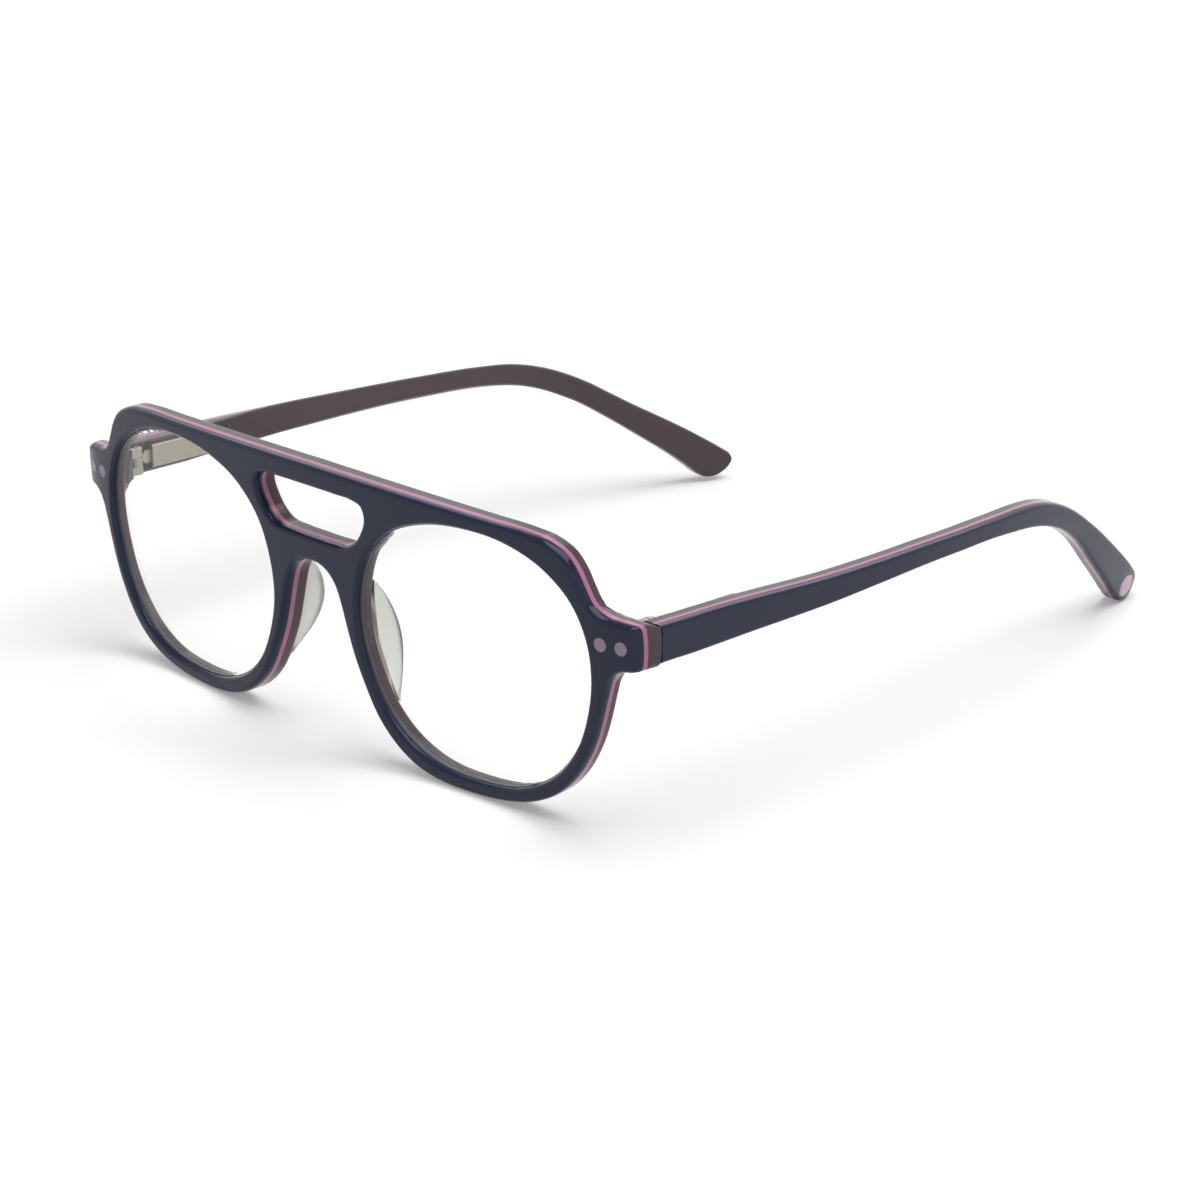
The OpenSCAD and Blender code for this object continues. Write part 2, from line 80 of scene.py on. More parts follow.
def lean(point):
    """World place, in metres, of a point of the upright front in millimetres."""
    x, y, z = point
    c, s = math.cos(LEAN), math.sin(LEAN)
    return Vector((x, y * c - z * s + FRONT_Y, y * s + z * c + FRONT_Z)) * MM


low, high, size = node_box("front_brown")
HALF_W = high[0]
END_D = high[1]  # how far back the thick end pieces reach
print("end pieces reach", HALF_W, "mm out and", END_D, "mm back")
print("each lens is turned by", round(math.degrees(LENS_TURN), 2), "degrees")

# %% [markdown]
# A camera far away with a long lens shows little perspective, as in a product photograph. It stands in
# front of the wearer's left side and looks down a little. Its place and turn were worked out from the
# lines of the front and the floor, so they are given as numbers instead of by aiming it at a point.

# %% Camera
CAMERA_FROM_BROW = (369.88, -302.54, 147.58)
CAMERA_TURN = Matrix(((0.70808, -0.23788, 0.66486), (0.70613, 0.23854, -0.66669), (0.0, 0.94155, 0.33688)))
out_x, out_y, out_z = CAMERA_FROM_BROW
eye = Vector((out_x, out_y + FRONT_Y, out_z + FRONT_Z)) * MM
bpy.ops.object.camera_add(location=eye, rotation=CAMERA_TURN.to_euler())
camera = bpy.context.object
camera.name = "photo_camera"
camera.data.sensor_fit = "HORIZONTAL"
camera.data.sensor_width = 36.0
camera.data.lens = 91.5
camera.data.dof.use_dof = False
bpy.context.scene.camera = camera
print("camera:", [round(c, 3) for c in eye], "lens:", camera.data.lens)

# %% [markdown]
# Outlines are drawn through a few points, as a maker marks them on a board. A smooth curve runs through
# them: its slope at each point is set by the spans on both sides. A curve with handles could do this
# too, but then each handle has to be set, and here a few points are enough.

# %% Smooth curves through points


def slope(a, b, c):
    """Direction of the curve at b, between a and c."""
    before, after = (b - a).length, (c - b).length
    if before == 0:
        return (c - b) / after
    if after == 0:
        return (b - a) / before
    return ((b - a) / before * after + (c - b) / after * before) / (before + after)


def between(p, q, m, n, t):
    """Point at share t of the span from p to q, with slopes m and n at its ends."""
    span = (q - p).length
    return (p * ((1 + 2 * t) * (1 - t) ** 2) + q * (t * t * (3 - 2 * t))
            + m * (span * t * (1 - t) ** 2) - n * (span * t * t * (1 - t)))


def open_curve(points, steps=6):
    """Points of a smooth curve from the first to the last of a list, with some steps to each span."""
    spots = [Vector(point) for point in points]
    last = len(spots) - 1
    out = []
    for i in range(last):
        start = slope(spots[max(i - 1, 0)], spots[i], spots[i + 1])
        end = slope(spots[i], spots[i + 1], spots[min(i + 2, last)])
        out += [between(spots[i], spots[i + 1], start, end, j / steps) for j in range(steps)]
    return out + [spots[last]]


def closed_curve(points, steps=8):
    """Points of a smooth closed curve."""
    spots = [Vector(point) for point in points]
    count = len(spots)
    out = []
    for i in range(count):
        a, b, c, d = spots[i - 1], spots[i], spots[(i + 1) % count], spots[(i + 2) % count]
        out += [between(b, c, slope(a, b, c), slope(b, c, d), j / steps) for j in range(steps)]
    return out


SQUARE = ((0, 0), (0, 10), (10, 10), (10, 0))
print("curve through a square's corners:", len(closed_curve(SQUARE)), "points")

# %% [markdown]
# Evenly spaced points give faces of one size, which bend and shine without ripples. A line can also be
# moved outward, which makes a lens a little smaller than its opening.

# %% Even and offset lines


def even(points, step, closed=True):
    """The same line with points spaced evenly."""
    line = points + points[:1] if closed else points
    lengths = [(b - a).length for a, b in zip(line, line[1:])]
    total = sum(lengths)
    count = max(8, round(total / step))
    out, i, run = [], 0, 0.0
    for k in range(count):
        goal = total * k / count
        while run + lengths[i] < goal:
            run += lengths[i]
            i += 1
        out.append(line[i].lerp(line[i + 1], (goal - run) / lengths[i]))
    return out if closed else out + [line[-1]]


def grown(points, d):
    """A closed clockwise line moved outward by d."""
    count = len(points)
    out = []
    for i in range(count):
        along = (points[(i + 1) % count] - points[i - 1]).normalized()
        out.append(points[i] + Vector((-along.y, along.x)) * d)
    return out


def mirrored(half):
    """A closed line from its right half, which starts and ends on the middle."""
    return half + [Vector((-p.x, p.y)) for p in reversed(half[1:-1])]


print("a 10 mm square every 2 mm:", len(even([Vector(corner) for corner in SQUARE], 2)), "points")

# %% [markdown]
# The front is one flat shape with three holes: two lenses and the long gap between its two bridges.
# Both halves are the same, so only the wearer's left half is listed, from the brow's middle round the
# end piece to the lower bridge. The small corners of the end piece get closer points than the rest.

# %% Outlines of the front
brow = [(0, 0.85), (14, 0.7), (28, 0.4), (40, 0.05), (48, -0.25), (53, -0.95), (56.3, -2.5), (58.3, -4.8),
        (59.7, -7.4), (61.2, -9.8), (63.6, -11), (66.6, -11.4), (68.4, -11.58)]
end_edge = [(68.4, -11.58), (69.4, -11.75), (69.95, -12.3), (70.09, -13.2), (70.09, -17.4), (69.98, -18.3),
            (69.55, -18.95), (68.7, -19.25), (67.4, -19.4)]
side = [(67.4, -19.4), (66.5, -19.65), (65.5, -20.15), (64.4, -21.6), (63.6, -24),
        (62.5, -28), (61.3, -31.8), (59.5, -35.8), (56.9, -39.8), (53.4, -43.2), (48.8, -45.7),
        (43.5, -47.1), (39, -47.63), (34, -47.8), (29, -47.63), (23, -46.3), (18.5, -43.8), (14.6, -40),
        (11.6, -35), (9.3, -30), (7.8, -25.4), (6.7, -21.7), (5.5, -18.8), (3.8, -17), (1.8, -16.2),
        (0, -16)]
lens_edge = [(27, -3.6), (36, -2.5), (45, -3.2), (52, -5.7), (57.2, -9.9), (60.1, -15.7), (60.8, -21.5),
             (59.9, -28), (57.5, -34.4), (53, -40), (46, -43.9), (36.5, -45.2), (27, -44.4), (20.4, -41.5),
             (15.6, -36.9), (12.5, -31), (10.9, -24.5), (11.4, -18.2), (13.8, -11.9), (18.8, -6.9)]
hole = [(0, -2.95), (7, -3), (11, -3.15), (13, -3.8), (13.5, -5.2), (12.5, -8), (10.6, -10.3), (8.6, -11.4),
        (5, -11.7), (0, -11.75)]
STEP = 0.8  # from one point to the next
HOLE_STEP = 0.6
CORNER_STEP = 0.3
half_edge = even(open_curve(brow), STEP, False)[:-1]
half_edge += even(open_curve(end_edge), CORNER_STEP, False)[:-1]
half_edge += even(open_curve(side), STEP, False)
outline = mirrored(half_edge)
lens_loop = even(closed_curve(lens_edge), STEP)
hole_loop = mirrored(even(open_curve(hole), HOLE_STEP, False))
print("outline points:", len(outline), "lens:", len(lens_loop), "hole:", len(hole_loop))

# %% [markdown]
# A flat plate starts as a filled curve. Its thickness and the round of its edges are set on the curve,
# which is then made a mesh. A block with holes cut by booleans and then bevelled would do as well, but
# this gives true holes and an even polish round every edge in one step.

# %% Plates from curves


def only(obj):
    """Selects one object and makes it active."""
    bpy.ops.object.select_all(action="DESELECT")
    obj.select_set(True)
    bpy.context.view_layer.objects.active = obj


def in_edit(obj):
    """Enters edit mode on one object with everything selected."""
    only(obj)
    bpy.ops.object.mode_set(mode="EDIT")
    bpy.ops.mesh.select_all(action="SELECT")


def flat_plate(name, loops, thick, rounding, steps=3):
    """Plate in the XY plane with its front face at z = 0 and its back at z = -thick."""
    curve = bpy.data.curves.new(name, "CURVE")
    curve.dimensions = "2D"
    curve.fill_mode = "BOTH"
    for i, loop in enumerate(loops):
        area = sum(a.x * b.y - b.x * a.y for a, b in zip(loop, loop[1:] + loop[:1]))
        points = loop if (area > 0) == (i == 0) else loop[::-1]
        spline = curve.splines.new("POLY")
        spline.points.add(len(points) - 1)
        for p, q in zip(spline.points, points):
            p.co = (q.x, q.y, 0, 1)
        spline.use_cyclic_u = True
    curve.extrude = thick / 2 - rounding
    curve.bevel_depth = rounding
    curve.bevel_resolution = steps
    curve.offset = -rounding
    obj = bpy.data.objects.new(name, curve)
    bpy.context.scene.collection.objects.link(obj)
    only(obj)
    bpy.ops.object.convert(target="MESH")
    in_edit(obj)
    bpy.ops.mesh.remove_doubles(threshold=1e-5)
    bpy.ops.mesh.normals_make_consistent(inside=False)
    bpy.ops.transform.translate(value=(0, 0, -thick / 2))
    bpy.ops.object.mode_set(mode="OBJECT")
    return obj


print("the front's edge:", ROUND, "mm of round on each side of", FRONT_T - 2 * ROUND, "mm of wall")

# %% [markdown]
# A glued board is made whole and then sawn into its layers, so that they meet exactly. Bisect is the
# saw: it can cut across and keep both sides, which only adds edges for a bend, or keep one side and
# close it with a face.

# %% Cuts and layers


def cut(obj, axis, places, keep=None):
    """Cuts across an axis at each place. With keep, one side goes and the cut is closed."""
    normal = [0.0, 0.0, 0.0]
    normal[axis] = 1.0
    in_edit(obj)
    for place in places:
        point = [0.0, 0.0, 0.0]
        point[axis] = place
        bpy.ops.mesh.select_all(action="SELECT")
        bpy.ops.mesh.bisect(plane_co=point, plane_no=normal, threshold=1e-5, use_fill=keep is not None,
                            clear_inner=keep == "above", clear_outer=keep == "below")
    bpy.ops.object.mode_set(mode="OBJECT")


def copied(obj, name):
    """A copy of an object with its own mesh."""
    other = obj.copy()
    other.data = obj.data.copy()
    other.name = other.data.name = name
    bpy.context.scene.collection.objects.link(other)
    return other


def layers(obj, names, depths):
    """Splits a plate into layers between the given depths."""
    out = []
    for name, a, b in zip(names, depths, depths[1:]):
        layer = copied(obj, name)
        if a > 0:
            cut(layer, 2, [-a], "below")
        if b < depths[-1]:
            cut(layer, 2, [-b], "above")
        out.append(layer)
    bpy.data.objects.remove(obj)
    return out


print("glued joints of the front at:", NAVY_T, "and", NAVY_T + PINK_T, "mm")

# %% [markdown]
# Each flat layer is then bent by moving its points with a function, and its depth under the outer face
# is noted first, because the fine lines at the glued joints follow it, and so do the lines along some
# rounded edges, a few of them painted highlights. A curve or lattice modifier could bend it too, but a
# function keeps each layer's thickness exactly.

# %% Depth marks, placing and smoothing


def marked(obj):
    """Notes each point's depth under the outer face, in millimetres, for the lines at the joints and the
    painted highlight lines at some edges.
    """
    depth = obj.data.attributes.new("depth", "FLOAT", "POINT")
    for v, noted in zip(obj.data.vertices, depth.data):
        noted.value = -v.co.z


def moved(obj, place):
    """Gives each vertex the place that a function works out from its old one."""
    for v in obj.data.vertices:
        v.co = place(v.co)
    obj.data.update()


def outward(obj):
    """Turns all faces outwards, because some placings mirror the mesh."""
    in_edit(obj)
    bpy.ops.mesh.normals_make_consistent(inside=False)
    bpy.ops.object.mode_set(mode="OBJECT")


def smoothed(obj, angle=35):
    """Smooth shading that keeps the wide faces flat and the polished edges round."""
    outward(obj)
    only(obj)
    bpy.ops.object.shade_smooth_by_angle(angle=math.radians(angle))
    even_faces = obj.modifiers.new("even faces", "WEIGHTED_NORMAL")
    even_faces.keep_sharp = True
    even_faces.weight = 80
    bpy.ops.object.modifier_apply(modifier=even_faces.name)


def rows(a, b, step):
    """Evenly spaced places from a to b."""
    n = max(1, round((b - a) / step))
    return [a + (b - a) * i / n for i in range(n + 1)]


BEND_STEP = 2.0  # a sheet is cut across at this step, so that it can bend
print("cuts across the front:", len(rows(-68, 68, BEND_STEP)))

# %% [markdown]
# The board is bent as a whole, so each layer keeps its thickness. A point is found on the bent front face
# first, and then at its depth along the direction in which the edge was cut: straight back at the middle,
# round the bridge gap and at the sides, and square to the lens in between.

# %% Bend of the front
STRAIGHT_IN = 5.0  # walls turn from straight back to square to the lens over this width
STRAIGHT_OUT = 64.0  # and back again from here
GAP_MID = -7.3  # height of the middle of the bridge gap
GAP_HALF_W = 15.0
GAP_HALF_H = 5.5
GAP_EDGE = 1.2  # squared distance, in those halves, out to which the walls stay straight back
GAP_SOFT = 0.3


def ease(t):
    """Goes smoothly from 0 to 1."""
    t = min(max(t, 0.0), 1.0)
    return t * t * (3 - 2 * t)


def bent(x, z, depth):
    """Place on the upright front of a point at x and z on the board, at a depth under its face."""
    sign = -1.0 if x < 0 else 1.0
    px = abs(x)
    # The bent face is an arc, and x is measured along the plane of the lens.
    mid_x, mid_y = WRAP_R * math.sin(LENS_TURN), WRAP_R * math.cos(LENS_TURN)
    sag = mid_y - math.sqrt(WRAP_R ** 2 - (px - mid_x) ** 2)
    face_x = px * math.cos(LENS_TURN) - sag * math.sin(LENS_TURN)
    face_y = px * math.sin(LENS_TURN) + sag * math.cos(LENS_TURN)
    # The direction in which the edge is cut there.
    from_gap = (px / GAP_HALF_W) ** 2 + ((z - GAP_MID) / GAP_HALF_H) ** 2
    way = LENS_TURN * ease(px / STRAIGHT_IN) * (1 - ease((px - STRAIGHT_OUT) / STRAIGHT_IN))
    way *= ease((from_gap - GAP_EDGE) / GAP_SOFT)
    u, v = -math.sin(way), math.cos(way)
    # The cut runs on until it meets the arc that lies at this depth.
    b = face_x * u + (face_y - WRAP_R) * v
    c = face_x * face_x + (face_y - WRAP_R) ** 2 - (WRAP_R - depth) ** 2
    run = -b - math.sqrt(b * b - c)
    return Vector((sign * (face_x + u * run), face_y + v * run, z))


def thin(x):
    """Thickness of the front, which falls a little toward its ends."""
    x = abs(x)
    face = WRAP_R - math.sqrt(WRAP_R ** 2 - x * x)
    back = FRONT_T + BACK_R - math.sqrt(BACK_R ** 2 - x * x)
    return (back - face) * math.cos(x / WRAP_R)


print("front thickness at the middle and near the end:", thin(0), round(thin(60), 2))

# %% [markdown]
# The end pieces are much thicker than the rest, because the hinges are let into them. The real ones are
# blocks glued behind the rim and filed down to it. Here the back of the rim is drawn out backwards
# between a top and a bottom line, a little too far, and sawn off later.

# %% Shape of the thick end pieces
BLOCK_IN = 61.0  # the block starts to grow here
BLOCK_OUT = 62.3  # and is whole from here on
BLOCK_LOW = -19.25
BLOCK_END = -20.0
OVERRUN = 1.5
BLOCK_TOP_LINE = [(6.5, 36.8), (9, 36.3), (11.5, 35.4)]
BLOCK_LOW_LINE = [(6.5, 28), (10.5, 28.4), (11.5, 28.8)]
INNER_RISE = 1.6  # how much higher the low edge is towards the lens
INNER_FROM = 66.5
INNER_OVER = 4.0


def end_depth(x, z):
    """Share, from 0 to 1, by which the thick end piece has grown at a place on the board."""
    outwards = (abs(x) - BLOCK_IN) / (BLOCK_OUT - BLOCK_IN)
    upwards = (z - BLOCK_END) / (BLOCK_LOW - BLOCK_END)
    return min(max(outwards, 0.0), 1.0) * min(max(upwards, 0.0), 1.0)


def held(z, low, top, soft=0.3):
    """Keeps a height between two limits and eases it off near them."""
    if z > top - soft:
        return top - soft * math.exp((top - soft - z) / soft)
    if z < low + soft:
        return low + soft * math.exp((z - low - soft) / soft)
    return z


def line(x, points):
    """Height at x of a line through a few points."""
    for (a, p), (b, q) in zip(points, points[1:]):
        if x <= b:
            return p + (q - p) * max(x - a, 0.0) / (b - a)
    return points[-1][1]


def block_low(x, y):
    """Lowest height of the end piece, which is higher towards the lens."""
    return line(y, BLOCK_LOW_LINE) + INNER_RISE * ease((INNER_FROM - abs(x)) / INNER_OVER)


print("end piece at its back:", line(END_D, BLOCK_TOP_LINE), "down to", block_low(HALF_W, END_D))

# %% [markdown]
# One function takes a point from the flat board to its place. It also draws out the round of the outer
# edge over nearly the whole navy layer, which is polished much softer than the back, and bends the tip
# of each end piece back.

# %% Placing the front
TUCK = 0.65  # how far the tip of the end piece is bent back
TUCK_FROM = 63.0
TUCK_FADE = 5.0  # it fades over this depth, so that the sawn face stays square
BLOCK_EASE = 0.6  # share of the back's depth over which the block takes its height
EDGE_LEFT = 0.1  # flat strip of navy left beside the pink


def tucked(place, x):
    """Bends the end piece back a little more, which brings its front corner in."""
    t = min(max((abs(x) - TUCK_FROM) / (HALF_W - TUCK_FROM), 0.0), 1.0)
    y = place.y / MM - FRONT_Y
    shift = TUCK * t * t * min(max((END_D - y) / TUCK_FADE, 0.0), 1.0) * MM
    place.x -= math.copysign(shift, x)
    place.y += shift
    return place


def drawn_out(depth, rounding, navy):
    """Stretches the round of the outer edge until it takes up nearly the whole navy layer."""
    end = navy - EDGE_LEFT
    if depth < rounding:
        return depth * end / rounding
    if depth < navy:
        return end + (depth - rounding) * EDGE_LEFT / (navy - rounding)
    return depth


def front_place(co):
    """From the flat board to the leaned front, in metres."""
    x, z, depth = co.x, co.y, drawn_out(-co.z, ROUND, NAVY_T)
    inner = NAVY_T + PINK_T
    share = max(0.0, (depth - inner) / (FRONT_T - inner))
    if share > 0:
        depth = inner + share * (thin(x) - inner)
    place = lean(bent(x, z, depth))
    grow = end_depth(x, z)
    if share > 0 and grow > 0:
        goal = (FRONT_Y + END_D + OVERRUN) * MM
        place.y += grow * share * (goal - place.y)
        y = place.y / MM - FRONT_Y
        kept = held(place.z / MM, block_low(x, y), line(y, BLOCK_TOP_LINE))
        place.z += (kept * MM - place.z) * ease(share / BLOCK_EASE)
    return tucked(place, x)


print("tip of the end piece:", [round(c / MM, 2) for c in front_place(Vector((HALF_W, -15, 0)))])

# %% [markdown]
# Now the front itself. The board is one plate with its holes, split into the three glued layers, cut
# across every 2 mm so that it can bend, and more finely where the end pieces grow. Three separate
# plates would show gaps at their rounded edges, and this way only the outer edges are round.

# %% The board of the front and its three layers
BLOCK_CUTS = [-2.8, -3.2, -3.6, -3.95]  # cuts in the back layer that let the growing block curve
other_lens = [Vector((-p.x, p.y)) for p in lens_loop]
board = flat_plate("front_board", [outline, hole_loop, lens_loop, other_lens], FRONT_T, ROUND, 5)
front = layers(board, ["navy_front", "pink_front", "brown_front"], [0, NAVY_T, NAVY_T + PINK_T, FRONT_T])
for layer in front:
    cut(layer, 0, rows(-68, 68, BEND_STEP))
cut(front[2], 0, [-BLOCK_OUT, -BLOCK_IN, BLOCK_IN, BLOCK_OUT])
cut(front[2], 1, [BLOCK_END, BLOCK_LOW])
cut(front[2], 2, BLOCK_CUTS)
for layer in front:
    marked(layer)
    moved(layer, front_place)
    print(layer.name, len(layer.data.vertices), "points")

# %% [markdown]
# The thick end pieces were drawn out a little too far. They are sawn off where the temples close on
# them, which gives a flat face with sharp edges, as a saw does. Then the layers take their nodes' places.

# %% Saw the end pieces square
cut(front[2], 1, [(FRONT_Y + END_D) * MM], "below")
for layer in front:
    smoothed(layer)
for layer, node in zip(front, ["front_navy", "front_pink", "front_brown"]):
    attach(layer, "front")
    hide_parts(node)
print("end pieces sawn at", END_D, "mm")

# %% [markdown]
# Each lens is a clear plate, bent with the front. It could fill its groove, but the groove is hidden, so
# the lens ends just short of the rim's wall. Its edge is ground dull, as a real one's is, and that dull
# edge hides the colours of the rim behind it, so it gets a material of its own, with painted shade and a
# line of painted highlight.

# %% Lenses
LENS_T = 2.0
LENS_ROUND = 0.1
LENS_GAP = 0.03
SIDES = ((1, "left"), (-1, "right"))
lens_front = NAVY_T + PINK_T / 2 - LENS_T / 2
lenses = []
for sign, where in SIDES:
    loop = [Vector((sign * p.x, p.y)) for p in grown(lens_loop, -LENS_GAP)]
    lens = flat_plate("clear_lens_" + where, [loop], LENS_T, LENS_ROUND, 1)
    cut(lens, 0, [sign * x for x in rows(12, 60, BEND_STEP)])
    for face in lens.data.polygons:
        # The side faces take the second slot, the ground edge with its painted shade and highlight.
        face.material_index = 1 if abs(face.normal.z) < 0.9 else 0
    marked(lens)
    moved(lens, lambda co: lean(bent(co.x, co.y, lens_front - co.z)))
    smoothed(lens)
    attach(lens, "front")
    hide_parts("lens_" + where)
    lenses.append(lens)
    print(lens.name, len(lens.data.vertices), "points")

# %% [markdown]
# The nose pads are small clear fins, glued to the back of the rim beside the nose and polished round.
# They could be sculpted from a block, but a grid keeps control of the outline: it is shaped row by row,
# each row crosses the rim from the nose side to the eye side. The grid is 2 wide and 2 high at first.

# %% Shape of the nose pads
# Each row is its height under the brow, its nose side, its eye side, and how far it stands out.
pad_rows = [(-17.2, 6.4, 11.0, 0.2), (-18.5, 6.3, 10.9, 1.5), (-20.5, 6.8, 10.7, 3.1),
            (-23.0, 7.3, 10.7, 4.6), (-26.0, 8.2, 10.9, 5.6), (-29.0, 9.3, 11.5, 5.8),
            (-32.0, 10.4, 12.6, 4.9), (-34.6, 11.6, 13.9, 3.3), (-36.6, 12.6, 15.0, 1.8),
            (-38.0, 13.3, 15.8, 0.6), (-38.8, 13.8, 16.1, 0.0)]
PAD_SINK = 0.15  # the pad is sunk into the rim by this much
PAD_SPREAD = 0.8  # under 1 brings the columns closer to the two edges
PAD_CROWN = 2.6  # over 2 is fuller than a circle


def pad_place(co, sign):
    """From the flat grid to a pad's place on the back of the rim, in metres."""
    z, nose, eye, height = pad_rows[round((co.y + 1) / 2 * (len(pad_rows) - 1))]
    t = co.x
    x = (nose + eye) / 2 + (eye - nose) / 2 * math.copysign(abs(t) ** PAD_SPREAD, t)
    rise = max(0.0, 1 - abs(t) ** PAD_CROWN) ** 0.5
    base = FRONT_T + BACK_R - math.sqrt(BACK_R ** 2 - x * x)
    return lean((sign * x, base - PAD_SINK + (height + PAD_SINK) * rise, z))


print("a pad stands out by", max(height for z, nose, eye, height in pad_rows), "mm at most")

# %% [markdown]
# The grid is bent into a pad, its open side is closed with a face, and a subdivision surface rounds it
# off. The points along the crest are noted, because a line of painted shade goes there, for the dark that
# thick clear sheet shows at its narrow edge.

# %% Nose pads
CREST = (0.2, 0.6)  # where the crest lies across the grid
pads = []
for sign, where in SIDES:
    bpy.ops.mesh.primitive_grid_add(x_subdivisions=8, y_subdivisions=len(pad_rows) - 1, size=2)
    pad = bpy.context.object
    pad.name = pad.data.name = "clear_pad_" + where
    # The crest is noted for the painted shade that the pad's material puts along it.
    crest = pad.data.attributes.new("crest", "FLOAT", "POINT")
    for v, noted in zip(pad.data.vertices, crest.data):
        noted.value = 1.0 if CREST[0] < v.co.x < CREST[1] else 0.0
    moved(pad, lambda co: pad_place(co, sign))
    in_edit(pad)
    bpy.ops.mesh.select_all(action="DESELECT")
    bpy.ops.mesh.select_mode(type="EDGE")
    bpy.ops.mesh.select_non_manifold()
    bpy.ops.mesh.edge_face_add()
    bpy.ops.mesh.select_mode(type="VERT")
    bpy.ops.object.mode_set(mode="OBJECT")
    only(pad)
    soft = pad.modifiers.new("polish", "SUBSURF")
    soft.levels = soft.render_levels = 2
    bpy.ops.object.modifier_apply(modifier=soft.name)
    smoothed(pad, 60)
    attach(pad, "front")
    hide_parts("nose_pad_" + where)
    pads.append(pad)
    print(pad.name, len(pad.data.vertices), "points")

# %% [markdown]
# Four small round inlays are set flush in the end pieces and polished with them. They could be a
# pattern in the navy's material, but a real one is a plug with its own face. A thin disc is enough,
# because only that face shows. Two insets raise it by a few thousandths, and the front's bend places it.

# %% Round inlays
DOT_R = 1.13
DOT_T = 0.8
DOT_XS = (-67.15, -63.25, 63.25, 67.15)
DOT_Z = -15.3
DOT_PROUD = 0.02
DOT_RIM = 0.06  # flat ring at the edge of its face
DOT_SLOPE = 0.6  # width over which the face then rises
DOT_RISE = 0.004
dots = []
for i, x in enumerate(DOT_XS):
    bpy.ops.mesh.primitive_cylinder_add(vertices=48, radius=DOT_R, depth=DOT_T)
    dot = bpy.context.object
    dot.name = dot.data.name = f"lavender_dot_{i + 1}"
    in_edit(dot)
    bpy.ops.mesh.select_all(action="DESELECT")
    bpy.ops.object.mode_set(mode="OBJECT")
    for f in dot.data.polygons:
        f.select = abs(f.normal.z) > 0.9
    bpy.ops.object.mode_set(mode="EDIT")
    bpy.ops.mesh.inset(thickness=DOT_RIM, depth=0.0)
    bpy.ops.mesh.inset(thickness=DOT_SLOPE, depth=DOT_RISE)
    bpy.ops.object.mode_set(mode="OBJECT")
    moved(dot, lambda co: front_place(co + Vector((x, DOT_Z, DOT_PROUD - DOT_T / 2))))
    smoothed(dot)
    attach(dot, "front")
    dots.append(dot)
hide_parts("front_inlays")
print("round inlays:", [dot.name for dot in dots])

# %% [markdown]
# A temple is cut from the flat board in side view, so its outline is drawn along Y and Z: the top from
# the hinge to the end, round the end, and back along the bottom. It starts before the place where it
# butts on the end piece, so that a straight saw cut can end it there.

# %% Outline of the temples
TEMPLE_T = 4.2
TEMPLE_NAVY = 1.45
TEMPLE_PINK = 0.8
TEMPLE_ROUND = 0.6
BUTT = node_box("temple_navy_left")[0][1]
top_line = [(8, 35.4), (11.65, 35.42), (22, 35.35), (36, 34.8), (50, 34.2), (66, 33.6), (84, 33.1),
            (98, 32.6), (107, 31.9), (114, 30.6), (120, 28.8), (125, 26.75), (130, 24.1), (136, 20.25),
            (143, 15.5), (150, 10.75), (155.9, 6.65)]
tip_line = [(157.9, 5.1), (158.6, 3.7), (158, 2.1), (156.6, 0.8), (154.4, 0.05), (152.4, 0.35)]
low_line = [(150.2, 2.1), (147, 4.9), (143, 8.3), (138, 12.45), (133.5, 16.1), (129, 19.35), (124, 22.3),
            (118, 24.85), (110, 27.3), (100, 28.9), (84, 29.6), (66, 29.65), (50, 29.45), (36, 29.25),
            (22, 29.15), (11.65, 29.12), (8, 29.12)]
TEMPLE_STEP = 0.7
temple_loop = even(open_curve(top_line + tip_line + low_line), TEMPLE_STEP, False)
print("temple outline:", len(temple_loop), "points")

# %% [markdown]
# Temples are warmed and adjusted by hand, so no two are quite alike. Both are cut from the same
# outline here, and short tables of places along the temple give the small turns and rises of each.
# Bones or a lattice could do this too, but a table along one line is easier to read and to change.

# %% Adjustments by hand
# Places are along Y from the brow. The key is 1 for the wearer's left temple and -1 for the right one.
MID_LINE = [(36, 32), (66, 31.6), (84, 31.35), (100, 30.75), (110, 29.5), (118, 27.1), (124, 24.8),
            (130, 21.6), (138, 15.9), (147, 9), (156, 3)]
TURNS = {1: [(112, 0), (122, 2.5), (132, 7)],
         -1: [(27, 0), (36, 7), (46, 16), (58, 24), (94, 24), (106, 13), (116, 0), (128, -8)]}
RISES = {1: [(12, 0.25), (19, 0.05), (32, -0.05), (50, -0.4), (64, -0.3), (76, -0.25), (90, -0.45),
             (104, -0.45), (117, 0.2), (127, 0.25), (137, 0.16), (146, 0.13)],
         -1: [(26, 0), (34, 0.4), (46, 0.62), (60, 0.52), (85, 0.46), (104, 0.5), (110, 0.35), (115, 0.05),
              (119, -0.3), (124, -0.7), (129, -1), (134, -0.8), (139, -0.25), (144, 0.35), (150, 0.8),
              (158, 1)]}
TALLER = {1: [(130, 1), (138, 1.1), (148, 1.07), (156, 1)],
          -1: [(28, 1), (45, 1.1), (60, 1.16), (95, 1.15), (110, 1.1), (124, 1.08), (134, 1), (152, 0.96)]}
THINNER = {1: [(0, 1)], -1: [(32, 1), (52, 0.8), (94, 0.8), (114, 1)]}


def flowing(x, points):
    """Height at x of a smooth curve through a few points, level before the first and after the last."""
    if x <= points[0][0]:
        return points[0][1]
    for i in range(len(points) - 1):
        (a, p), (b, q) = points[i], points[i + 1]
        if x > b:
            continue
        before = (q - points[i - 1][1]) / (b - points[i - 1][0]) if i > 0 else 0.0
        after = (points[i + 2][1] - p) / (points[i + 2][0] - a) if i + 2 < len(points) else 0.0
        t = (x - a) / (b - a)
        rise = p + (q - p) * t * t * (3 - 2 * t)
        return rise + (b - a) * t * (1 - t) * (before * (1 - t) - after * t)
    return points[-1][1]


